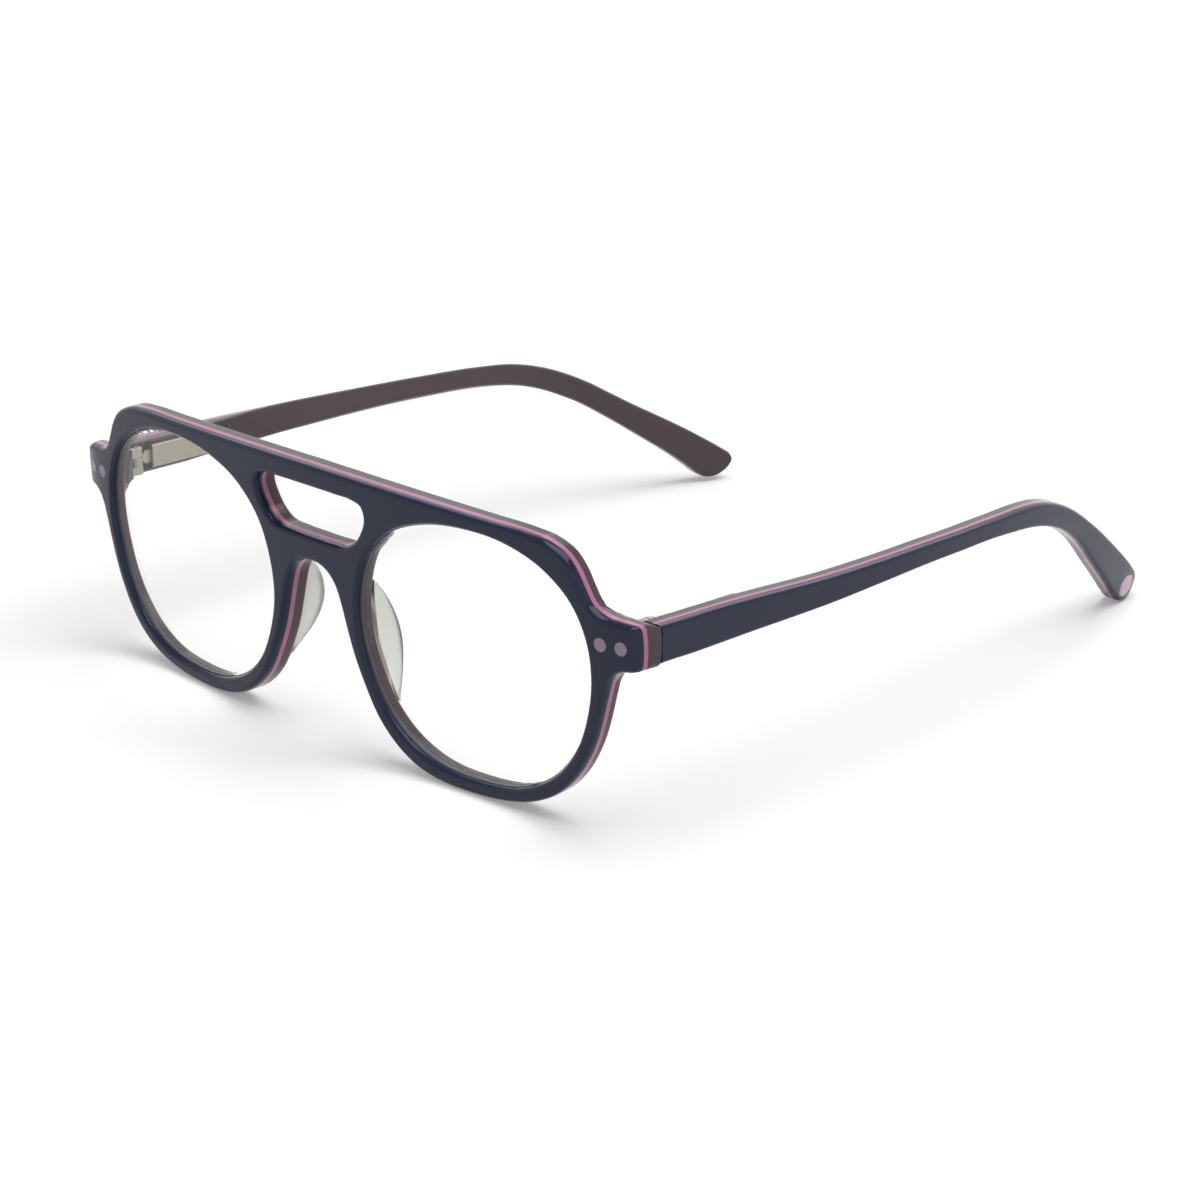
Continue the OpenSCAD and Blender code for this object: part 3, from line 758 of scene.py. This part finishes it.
print("middle of the temple at 100 mm:", round(flowing(100, MID_LINE), 2))
print("turn of the right temple at 100 mm:", round(flowing(100, TURNS[-1]), 1), "degrees")

# %% [markdown]
# A point of the flat temple is first turned and raised, and then bent inward on a wide radius past the
# straight part. Where the temple is turned, it also moves inward, so that it stays within the front's
# width.

# %% Placing the temples
CURVE_Y = 55.0
CURVE_R = 350.0
TURN_SHIFT = 2.75  # about half the temple's height, which would stick out where it is turned
SHIFT_END = 96.0
SHIFT_FADE = 20.0


def turned(y, z, depth, sign):
    """Turns and raises a point of the flat temple by the tables above."""
    angle = math.radians(flowing(y, TURNS[sign]))
    mid = flowing(y, MID_LINE)
    half = TEMPLE_T / 2
    thickness = flowing(y, THINNER[sign])
    u, v = (depth - half) * thickness, (z - mid) * flowing(y, TALLER[sign])
    inward = half * thickness * math.cos(angle)
    inward += TURN_SHIFT * math.sin(abs(angle)) * (1 - ease((y - SHIFT_END) / SHIFT_FADE))
    depth = inward + u * math.cos(angle) - v * math.sin(angle)
    z = mid + v * math.cos(angle) + u * math.sin(angle) + flowing(y, RISES[sign])
    return z, depth


def temple_place(co, sign):
    """From the flat board, with its outer face at z = 0, to the temple's place in metres."""
    y, z, depth = co.x, co.y, drawn_out(-co.z, TEMPLE_ROUND, TEMPLE_NAVY)
    z, depth = turned(y, z, depth, sign)
    out = HALF_W - depth
    if y > CURVE_Y:
        out = HALF_W - CURVE_R + math.sqrt((CURVE_R - depth) ** 2 - (y - CURVE_Y) ** 2)
    return Vector((sign * out, y + FRONT_Y, z)) * MM


print("end of the left temple:", [round(c / MM, 1) for c in temple_place(Vector((158, 2, 0)), 1)])

# %% [markdown]
# Each temple is a board of three layers again. It is sawn square at the hinge end, split into its
# layers and cut across every 2.5 mm, and the layers are then placed one by one.

# %% Temples
TEMPLE_BEND_STEP = 2.5
temples = {}
for sign, where in SIDES:
    board = flat_plate("temple_board_" + where, [temple_loop], TEMPLE_T, TEMPLE_ROUND)
    cut(board, 0, [BUTT], "above")
    names = [f"{colour}_temple_{where}" for colour in ("navy", "pink", "brown")]
    parts = layers(board, names, [0, TEMPLE_NAVY, TEMPLE_NAVY + TEMPLE_PINK, TEMPLE_T])
    for layer, node in zip(parts, ("temple_navy_", "temple_pink_", "temple_brown_")):
        cut(layer, 0, rows(14, 156, TEMPLE_BEND_STEP))
        marked(layer)
        moved(layer, lambda co: temple_place(co, sign))
        temples[layer.name] = layer
        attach(layer, "temple_" + where)
        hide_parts(node + where)
print("temple layers:", sorted(temples))

# %% [markdown]
# Hollows for metal parts are milled into the sheet. A cutter is made for each hollow and taken away
# from the layer with a boolean, as a mill would. Cutting the hollow into the outline is no choice here,
# because it goes only part of the way through.

# %% Milling


def box_of(name, low, high):
    """A block between two corners, in millimetres, with y counted from the brow."""
    bpy.ops.mesh.primitive_cube_add(size=1)
    obj = bpy.context.object
    obj.name = obj.data.name = name
    low, high = Vector(low), Vector(high)
    mid, size = (low + high) / 2, high - low
    moved(obj, lambda co: Vector((mid.x + co.x * size.x, mid.y + co.y * size.y + FRONT_Y,
                                  mid.z + co.z * size.z)) * MM)
    return obj


def milled(obj, cutter):
    """Takes the cutter's shape away from an object."""
    only(obj)
    mill = obj.modifiers.new("mill", "BOOLEAN")
    mill.operation = "DIFFERENCE"
    mill.solver = "EXACT"
    mill.object = cutter
    bpy.ops.object.modifier_apply(modifier=mill.name)
    bpy.data.objects.remove(cutter)


low, high, size = node_box("spring_housing_left")
print("the frame's housing:", size, "mm")

# %% [markdown]
# The inner layer of each temple has a long seat for the spring housing, round behind, and an open slot
# in front of it, through which the hinge's knuckle passes.

# %% Hollows for the hinges
HOUSING_OUT = high[0]  # outer face of the housing, under the pink layer
HOUSING_Y = low[1]  # front of the housing
HOUSING_T, HOUSING_L, HOUSING_H = size
HINGE_Z = (low[2] + high[2]) / 2
SEAT_GAP = 0.05
SEAT_CUTTER_T = 6.0  # reaches well out of the temple's inner face
SLOT = (60.0, 67.0)  # from the middle of the frame outwards
SLOT_HALF = 2.55
SLOT_START = 5.0  # in front of the temple's sawn end
SLOT_OVERLAP = 0.4  # the slot runs on into the seat by this much
SHARP = 0.01  # hardly any round, for a cutter


def housing_loop(gap):
    """Side outline of a spring housing, square in front and round behind."""
    r = HOUSING_H / 2 + gap
    square_end, round_mid = HOUSING_Y - gap, HOUSING_Y + HOUSING_L - HOUSING_H / 2
    arc = [Vector((round_mid + r * math.sin(t), HINGE_Z + r * math.cos(t))) for t in
           [math.pi * i / 24 for i in range(25)]]
    return [Vector((square_end, HINGE_Z + r))] + arc + [Vector((square_end, HINGE_Z - r))]


def milled_level(obj, sign, across, y_from, y_to, half):
    """Mills a hollow level with the hinge, between two distances from the middle of the frame."""
    x0, x1 = sorted((sign * across[0], sign * across[1]))
    milled(obj, box_of("cutter", (x0, y_from, HINGE_Z - half), (x1, y_to, HINGE_Z + half)))


for sign, where in SIDES:
    brown = temples["brown_temple_" + where]
    milled_level(brown, sign, SLOT, SLOT_START, HOUSING_Y + SLOT_OVERLAP, SLOT_HALF)
    seat = flat_plate("cutter", [housing_loop(SEAT_GAP)], SEAT_CUTTER_T, SHARP, 0)
    moved(seat, lambda co: Vector((sign * (HOUSING_OUT + SEAT_GAP + co.z), co.x + FRONT_Y, co.y)) * MM)
    outward(seat)
    milled(brown, seat)
    print(brown.name, len(brown.data.polygons), "faces after milling")
for layer in temples.values():
    smoothed(layer)

# %% [markdown]
# The hinge's plate sits in a shallow pocket in the sawn face of each end piece, a little larger than
# the plate. It is milled in the same way.

# %% Plate pockets in the end pieces
low, high, size = node_box("hinge_plate_left")
POCKET = (low[0] - SEAT_GAP, high[0] + SEAT_GAP)
POCKET_HALF = size[2] / 2 + SEAT_GAP
POCKET_D = 0.85
OVERCUT = 3.0  # a cutter starts this far outside the face that it cuts
for sign, where in SIDES:
    milled_level(front[2], sign, POCKET, END_D - POCKET_D, END_D + OVERCUT, POCKET_HALF)
smoothed(front[2])
print("pockets:", POCKET_D, "mm deep")

# %% [markdown]
# A spring housing is a small metal box with a round end, pressed or cast, with its edges broken. The
# same outline as its seat is used without the gap, so it fits. Its mouth is open for the slider.

# %% Spring housings
HOUSING_ROUND = 0.3
MOUTH = (65.2, 66.9)
MOUTH_D = 4.0
MOUTH_HALF = 1.25
for sign, where in SIDES:
    case = flat_plate("housing_" + where, [housing_loop(0)], HOUSING_T, HOUSING_ROUND)
    moved(case, lambda co: Vector((sign * (HOUSING_OUT - HOUSING_T - co.z), co.x + FRONT_Y, co.y)) * MM)
    outward(case)
    milled_level(case, sign, MOUTH, HOUSING_Y - OVERCUT, HOUSING_Y + MOUTH_D, MOUTH_HALF)
    smoothed(case)
    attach(case, "temple_" + where)
    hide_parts("spring_housing_" + where)
    print(case.name, len(case.data.polygons), "faces")

# %% [markdown]
# Near the end of each temple an oval inlay shows the pink again. It could be painted by the navy's
# material, but then it would have no edge of its own. It is a thin plug that follows the bent outer
# face, placed by the temple's own function and left a trace proud.

# %% Oval inlays
low, high, size = node_box("tip_inlay_left")
TIP_HALF_L = size[1] / 2
TIP_HALF_H = size[2] / 2
TIP_SPOT = Vector((low[1] + TIP_HALF_L, low[2] + TIP_HALF_H))
TIP_T = 0.7
TIP_ROUND = 0.05
TIP_PROUD = 0.02
tips = []
for sign, where in SIDES:
    oval = [TIP_SPOT + Vector((TIP_HALF_L * math.cos(t), TIP_HALF_H * math.sin(t))) for t in
            [math.tau * i / 64 for i in range(64)]]
    plug = flat_plate("pink_oval_" + where, [oval], TIP_T, TIP_ROUND, 1)
    cut(plug, 0, rows(151, 156, TEMPLE_STEP))
    moved(plug, lambda co: temple_place(Vector((co.x, co.y, co.z + TIP_PROUD)), sign))
    smoothed(plug)
    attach(plug, "temple_" + where)
    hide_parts("tip_inlay_" + where)
    tips.append(plug)
print("oval inlays:", [plug.name for plug in tips])

# %% [markdown]
# Finishes are built from nodes. A few helpers keep that short: one takes colours as a screen shows them,
# one starts a material, one fills in several inputs at once, and the rest each add one kind of node.

# %% Helpers for finishes


def linear(rgb):
    """Colour for a shader from the 0 to 255 values of a screen."""
    out = [c / 12.92 if c <= 0.04045 else ((c + 0.055) / 1.055) ** 2.4 for c in [v / 255 for v in rgb]]
    return (*out, 1.0)


def started(name):
    """A new material, with its nodes, its links and its shader."""
    material = bpy.data.materials.new(name)
    material.use_nodes = True
    nodes, links = material.node_tree.nodes, material.node_tree.links
    return material, nodes, links, nodes["Principled BSDF"]


def filled(node, values):
    """Sets several inputs of a node by name."""
    for name, value in values.items():
        node.inputs[name].default_value = value
    return node


def worked(nodes, links, operation, a, b):
    """A Math node on two inputs, each a socket or a number."""
    node = nodes.new("ShaderNodeMath")
    node.operation = operation
    for socket, value in zip(node.inputs, (a, b)):
        if isinstance(value, (int, float)):
            socket.default_value = value
        else:
            links.new(value, socket)
    return node.outputs[0]


def mixed(nodes, links, factor, a, b):
    """A colour mix of two sockets."""
    node = nodes.new("ShaderNodeMix")
    node.data_type = "RGBA"
    for name, value in (("Factor", factor), ("A", a), ("B", b)):
        place = [socket for socket in node.inputs if socket.name == name and socket.enabled][0]
        links.new(value, place)
    return [socket for socket in node.outputs if socket.enabled][0]


def noise(nodes, links, place, scale, detail):
    """A noise texture read at a place."""
    node = filled(nodes.new("ShaderNodeTexNoise"), {"Scale": scale, "Detail": detail})
    links.new(place, node.inputs["Vector"])
    return node.outputs["Fac"]


def ranged(nodes, links, value, low, high, start=0.0, end=1.0):
    """Takes a value from its range, start to end, to the range from low to high."""
    node = nodes.new("ShaderNodeMapRange")
    filled(node, {"From Min": start, "From Max": end, "To Min": low, "To Max": high})
    links.new(value, node.inputs["Value"])
    return node.outputs["Result"]


def bumped(nodes, links, shader, height, strength, distance):
    """Lets a height roughen a shader's surface."""
    node = filled(nodes.new("ShaderNodeBump"), {"Strength": strength, "Distance": distance})
    links.new(height, node.inputs["Height"])
    links.new(node.outputs["Normal"], shader.inputs["Normal"])


print("mid grey of a screen for a shader:", round(linear((128, 128, 128))[0], 3))

# %% [markdown]
# Polished sheet has a deep, even colour with a faint clouding, and a gloss that tiny scratches soften.
# Beside a glued joint the next colour shines through as a line finer than a hair. Lines as fine are
# also drawn along some rounded edges, and some of those are painted highlights. A strip of mesh would be
# too coarse for such a line, so it is drawn where the noted depth has its value. One node group holds
# these effects, and each colour uses it with its own values.

# %% Polished sheet group
NO_LINE = -9.0  # a depth that no point has


def sheet_group():
    """Node group for the colour, the roughness and the fine scratches of polished sheet."""
    group = bpy.data.node_groups.new("polished sheet", "ShaderNodeTree")
    face = group.interface
    for name, kind, value in (("Colour", "NodeSocketColor", (0.5, 0.5, 0.5, 1)),
                              ("Cloud Colour", "NodeSocketColor", (0.5, 0.5, 0.5, 1)),
                              ("Cloud Amount", "NodeSocketFloat", 0.3),
                              ("Gloss", "NodeSocketFloat", 0.3),
                              ("Line Colour", "NodeSocketColor", (0.5, 0.5, 0.5, 1)),
                              ("Line Depth", "NodeSocketFloat", NO_LINE),
                              ("Line Width", "NodeSocketFloat", 0.1)):
        socket = face.new_socket(name, in_out="INPUT", socket_type=kind)
        socket.default_value = value
    for name, kind in (("Colour", "Color"), ("Roughness", "Float"), ("Scratches", "Float")):
        face.new_socket(name, in_out="OUTPUT", socket_type="NodeSocket" + kind)
    nodes, links = group.nodes, group.links
    entry, leave = nodes.new("NodeGroupInput"), nodes.new("NodeGroupOutput")
    place = nodes.new("ShaderNodeTexCoord").outputs["Object"]
    cloud = noise(nodes, links, place, 45, 2)
    amount = worked(nodes, links, "MULTIPLY", cloud, entry.outputs["Cloud Amount"])
    clouded = mixed(nodes, links, amount, entry.outputs["Colour"], entry.outputs["Cloud Colour"])
    # The fine line at one depth: a joint line in some colours, a painted highlight in others.
    depth = nodes.new("ShaderNodeAttribute")
    depth.attribute_name = "depth"
    off = worked(nodes, links, "SUBTRACT", depth.outputs["Fac"], entry.outputs["Line Depth"])
    off = worked(nodes, links, "ABSOLUTE", off, 0.0)
    off = worked(nodes, links, "DIVIDE", off, entry.outputs["Line Width"])
    near = worked(nodes, links, "SUBTRACT", 1.0, off)
    near = worked(nodes, links, "MAXIMUM", near, 0.0)
    lined = mixed(nodes, links, near, clouded, entry.outputs["Line Colour"])
    fine = noise(nodes, links, place, 1400, 4)
    spread = ranged(nodes, links, fine, -0.05, 0.05)
    rough = worked(nodes, links, "ADD", spread, entry.outputs["Gloss"])
    for name, value in (("Colour", lined), ("Roughness", rough), ("Scratches", fine)):
        links.new(value, leave.inputs[name])
    return group


polished = sheet_group()
print("sheet group:", len(polished.nodes), "nodes")

# %% [markdown]
# Each colour of the sheet is one material: navy with a violet line beside the pink, plain pink, and brown
# with an orange line at its back edge. The temples' inner side is the same brown with a pale grey line of
# painted highlight along its rounded back edge. A lens's ground edge is dull, and its dark grey is painted
# shade, with a line of painted highlight along the middle. The round inlays are lavender.

# %% Sheet colours


def sheet(name, colour, cloud, gloss=0.13, line_colour=(128, 128, 128), line_depth=NO_LINE, line_width=0.1):
    """Material of one polished colour of sheet, with a fine line at one depth where it has one."""
    material, nodes, links, shader = started(name)
    filled(shader, {"IOR": 1.49, "Specular IOR Level": 0.27})
    group = nodes.new("ShaderNodeGroup")
    group.node_tree = polished
    filled(group, {"Colour": linear(colour), "Cloud Colour": linear(cloud), "Cloud Amount": 0.6,
                   "Gloss": gloss, "Line Colour": linear(line_colour), "Line Depth": line_depth,
                   "Line Width": line_width})
    links.new(group.outputs["Colour"], shader.inputs["Base Color"])
    links.new(group.outputs["Roughness"], shader.inputs["Roughness"])
    bumped(nodes, links, shader, group.outputs["Scratches"], 0.05, 0.00005)
    return material


navy = sheet("navy sheet", (33, 40, 61), (37, 44, 66), 0.13, (78, 56, 140), 1.46, 0.2)
navy.node_tree.nodes["Principled BSDF"].inputs["Specular Tint"].default_value = (0.9, 0.93, 1, 1)
pink = sheet("pink sheet", (184, 113, 140), (190, 122, 148))
brown = sheet("brown sheet", (74, 66, 70), (84, 68, 70), 0.18, (228, 138, 88), 4.52, 0.28)
# Painted highlight: the pale grey line along the rounded back edge of the temples' inner side.
brown_inner = sheet("brown inner sheet", (72, 68, 73), (98, 68, 70), 0.2, (118, 114, 128), 3.9, 0.25)
# Painted shade: the ground edge is dark grey for the shade in its groove, with a painted highlight line.
ground = sheet("ground lens edge", (44, 46, 52), (48, 50, 56), 0.5, (120, 122, 120), 1.0, 0.1)
lavender = sheet("lavender inlay", (152, 136, 156), (158, 142, 162))
print("sheets:", [material.name for material in (navy, pink, brown, brown_inner, ground, lavender)])

# %% [markdown]
# The oval inlays at the temples' ends reflect the grey of the sky on one side and the brown below them on
# the other. A mirror of the surroundings would need them in the scene, so a ramp along Y paints that
# reflection into their colour.

# %% Sheet of the oval inlays


def sheet_with_painted_reflection(name, spot, half, stops):
    """Polished sheet whose colour changes along Y over a small inlay, as a painted reflection."""
    material = sheet(name, stops[1][1], stops[1][1])
    nodes, links = material.node_tree.nodes, material.node_tree.links
    apart = nodes.new("ShaderNodeSeparateXYZ")
    links.new(nodes.new("ShaderNodeTexCoord").outputs["Object"], apart.inputs[0])
    share = ranged(nodes, links, apart.outputs["Y"], 0.0, 1.0, (spot - half) * MM, (spot + half) * MM)
    ramp = nodes.new("ShaderNodeValToRGB")
    scale = ramp.color_ramp
    while len(scale.elements) < len(stops):
        scale.elements.new(0.5)
    for element, (position, colour) in zip(scale.elements, stops):
        element.position = position
        element.color = linear(colour)
    links.new(share, ramp.inputs["Fac"])
    links.new(ramp.outputs["Color"], nodes["Principled BSDF"].inputs["Base Color"])
    return material


# Painted reflection: sky grey at one end, the inlay's pink in the middle, brown at the other end.
oval_pink = sheet_with_painted_reflection("pink inlay", FRONT_Y + TIP_SPOT.x, TIP_HALF_L,
                         [(0.0, (146, 148, 172)), (0.25, (212, 180, 202)), (0.75, (212, 178, 198)),
                          (1.0, (180, 132, 118))])
print("inlay sheet:", oval_pink.name)

# %% [markdown]
# The lenses are plain clear plastic. Light that casts their shadow passes straight through, because
# thin clear lenses leave no shadow to speak of. The pads are clearer sheet with a faint milkiness, and
# their narrow polished edge looks dark in the light. A shader that darkens at grazing angles would do
# that all over the pad, so the dark is painted as shade along the crest that was noted on its mesh.

# %% Clear plastics


def overlaid(nodes, links, factor, before, after):
    """Lets one shader give way to another by a factor, as the last step of a material."""
    blend = nodes.new("ShaderNodeMixShader")
    for socket, value in zip(blend.inputs, (factor, before, after)):
        links.new(value, socket)
    links.new(blend.outputs[0], nodes["Material Output"].inputs["Surface"])


def clear(name, tint, ior, rough, veil, clearness):
    """Clear plastic whose shadow is only a little darker than the light around it."""
    material, nodes, links, shader = started(name)
    filled(shader, {"Base Color": linear(tint), "Transmission Weight": clearness, "IOR": ior,
                    "Roughness": rough})
    through = filled(nodes.new("ShaderNodeBsdfTransparent"), {"Color": (veil, veil, veil, 1)})
    path = nodes.new("ShaderNodeLightPath")
    overlaid(nodes, links, path.outputs["Is Shadow Ray"], shader.outputs[0], through.outputs[0])
    return material


def painted_crest_shade(material, tint):
    """Paints shade along the narrow polished edge of a clear pad, where thick clear sheet looks dark."""
    nodes, links = material.node_tree.nodes, material.node_tree.links
    before = nodes["Material Output"].inputs["Surface"].links[0].from_socket
    crest = nodes.new("ShaderNodeAttribute")
    crest.attribute_name = "crest"
    narrow = worked(nodes, links, "POWER", crest.outputs["Fac"], 2.0)
    edge = filled(nodes.new("ShaderNodeBsdfPrincipled"), {"Base Color": linear(tint), "Roughness": 0.3})
    overlaid(nodes, links, narrow, before, edge.outputs[0])


lens_clear = clear("clear lens", (254, 255, 254), 1.22, 0.0, 0.98, 1.0)
pad_clear = clear("clear pad", (238, 239, 233), 1.4, 0.1, 0.75, 0.6)
# Painted shade: a dark line along each pad's crest.
painted_crest_shade(pad_clear, (46, 40, 42))
print("clear plastics:", lens_clear.name, "and", pad_clear.name)

# %% [markdown]
# The hinges are satin nickel, and their screws and springs are bright steel. Drawn metal has a fine
# grain along its length, so the noise is stretched along Y. It varies the roughness and is a slight bump.

# %% Hinge metal


def metal(name, colour, rough):
    """Bare metal with a fine drawn grain."""
    material, nodes, links, shader = started(name)
    filled(shader, {"Base Color": linear(colour), "Metallic": 1.0})
    stretch = filled(nodes.new("ShaderNodeMapping"), {"Scale": (1, 0.12, 1)})
    links.new(nodes.new("ShaderNodeTexCoord").outputs["Object"], stretch.inputs["Vector"])
    grain = noise(nodes, links, stretch.outputs["Vector"], 2600, 2)
    links.new(ranged(nodes, links, grain, rough - 0.06, rough + 0.08), shader.inputs["Roughness"])
    bumped(nodes, links, shader, grain, 0.15, 0.00003)
    return material


nickel = metal("satin nickel", (158, 153, 138), 0.36)
bright = metal("bright steel", (196, 194, 184), 0.24)
print("metals:", nickel.name, "and", bright.name)

# %% [markdown]
# Each new piece now gets its finish. The plates, sliders, screws, nuts, springs and stops of the hinges
# are the frame's own nodes. Their shape is right as it is, so only their material slot is filled.

# %% Give each piece its finish


def dress(obj, material):
    """Gives a piece one material, in its first slot."""
    if obj.data.materials:
        obj.data.materials[0] = material
    else:
        obj.data.materials.append(material)


for layer, material, slot in zip(front, (navy, pink, brown), ("navy_sheet", "pink_sheet", "brown_sheet")):
    dress(layer, material)
for name, layer in temples.items():
    colour = name.split("_")[0]
    dress(layer, {"navy": navy, "pink": pink, "brown": brown_inner}[colour])
for lens in lenses:
    dress(lens, lens_clear)
    lens.data.materials.append(ground)
for pad in pads:
    dress(pad, pad_clear)
for dot in dots:
    dress(dot, lavender)
for plug in tips:
    dress(plug, oval_pink)
for sign, where in SIDES:
    dress(bpy.data.objects["housing_" + where], nickel)
    for node in ("hinge_plate_", "hinge_slider_"):
        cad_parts[node + where].data.materials[0] = nickel
    for node in ("hinge_screw_", "spring_nut_", "hinge_spring_", "spring_stop_"):
        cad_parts[node + where].data.materials[0] = bright
print("pieces dressed:", len(front) + len(temples) + len(lenses) + len(pads) + len(dots) + len(tips) + 2)

# %% [markdown]
# The studio is a white floor under a white sky. The white that the camera sees is the colour of the
# floor and sky themselves, not extra light on the object, so the floor keeps a soft shadow. Rays that
# come straight from the camera, or by way of gloss or glass, see the floor lifted towards white, a
# little near the object and more further away. Stronger lamps would bleach the object too.

# %% Floor


def seen_first(nodes, links, *kinds):
    """Factor that is 1 for rays of these kinds, as long as they have met no matt surface before."""
    path = nodes.new("ShaderNodeLightPath")
    factor = path.outputs[kinds[0]]
    for kind in kinds[1:]:
        factor = worked(nodes, links, "MAXIMUM", factor, path.outputs[kind])
    direct = worked(nodes, links, "LESS_THAN", path.outputs["Diffuse Depth"], 0.5)
    return worked(nodes, links, "MULTIPLY", factor, direct)


NEAR_LIFT = 0.25
FAR_LIFT = 0.75
LIFT_FROM = 0.1  # metres from the middle
LIFT_TO = 0.9
bpy.ops.mesh.primitive_plane_add(size=6)
floor = bpy.context.object
floor.name = "floor"
floor_paint, nodes, links, paint = started("white floor")
filled(paint, {"Base Color": (0.8, 0.8, 0.8, 1), "Roughness": 0.9, "Specular IOR Level": 0.0,
               "Emission Color": (1, 1, 1, 1)})
distance = nodes.new("ShaderNodeVectorMath")
distance.operation = "LENGTH"
links.new(nodes.new("ShaderNodeTexCoord").outputs["Object"], distance.inputs[0])
lift = ranged(nodes, links, distance.outputs["Value"], NEAR_LIFT, FAR_LIFT, LIFT_FROM, LIFT_TO)
shown = seen_first(nodes, links, "Is Camera Ray", "Is Glossy Ray", "Is Transmission Ray")
links.new(worked(nodes, links, "MULTIPLY", shown, lift), paint.inputs["Emission Strength"])
floor.data.materials.append(floor_paint)
print("floor:", floor.dimensions.x, "m wide")

# %% [markdown]
# The sky lights everything softly and evenly. Seen directly or through a lens it is white, and in gloss
# it is bright low down and dimmer overhead, as a studio's walls and ceiling are.

# %% Sky
SKY = 0.38
WALLS = 1.0  # how bright gloss sees the sky low down
CEILING = 0.4  # and overhead
world = bpy.data.worlds.new("studio")
bpy.context.scene.world = world
world.use_nodes = True
nodes, links = world.node_tree.nodes, world.node_tree.links
sky = filled(nodes["Background"], {"Color": (1, 1, 1, 1)})
height = nodes.new("ShaderNodeSeparateXYZ")
links.new(nodes.new("ShaderNodeTexCoord").outputs["Generated"], height.inputs[0])
ceiling = ranged(nodes, links, height.outputs["Z"], WALLS - SKY, CEILING - SKY, 0.5, 0.7)
straight = seen_first(nodes, links, "Is Camera Ray", "Is Transmission Ray")
white = worked(nodes, links, "MULTIPLY", straight, 1.0 - SKY)
gloss = worked(nodes, links, "MULTIPLY", seen_first(nodes, links, "Is Glossy Ray"), ceiling)
extra = worked(nodes, links, "ADD", white, gloss)
links.new(worked(nodes, links, "ADD", extra, SKY), sky.inputs["Strength"])
print("sky strength:", SKY)

# %% [markdown]
# One large soft lamp overhead gives the soft shadow under the rims. Two weak lamps behind and beside
# the object only draw shines, one along the brow and one along the temple. They are hidden from matt
# surfaces, because otherwise they would throw a second shadow forward.

# %% Lamps
LOOK_AT = (0, 0, 0.03)
SHINE_COLOUR = (0.78, 0.8, 1.0)


def lamp(name, place, aim, size, watts):
    """A square soft lamp that looks at a point."""
    bpy.ops.object.light_add(type="AREA", location=place)
    obj = bpy.context.object
    obj.name = name
    obj.data.size = size
    obj.data.energy = watts
    obj.rotation_euler = (Vector(aim) - Vector(place)).to_track_quat("-Z", "Y").to_euler()
    print(name, watts, "W")
    return obj


lamp("top lamp", (0.2, 0.1, 0.9), (0, 0, 0), 0.8, 6.8)
for name, place, watts in (("brow shine", (-0.53, 0.26, 0.53), 0.6),
                           ("temple shine", (-0.26, 0.53, 0.53), 0.7)):
    shine = lamp(name, place, LOOK_AT, 0.35, watts)
    shine.data.color = SHINE_COLOUR
    shine.visible_diffuse = False
bpy.context.scene.view_settings.view_transform = "Standard"
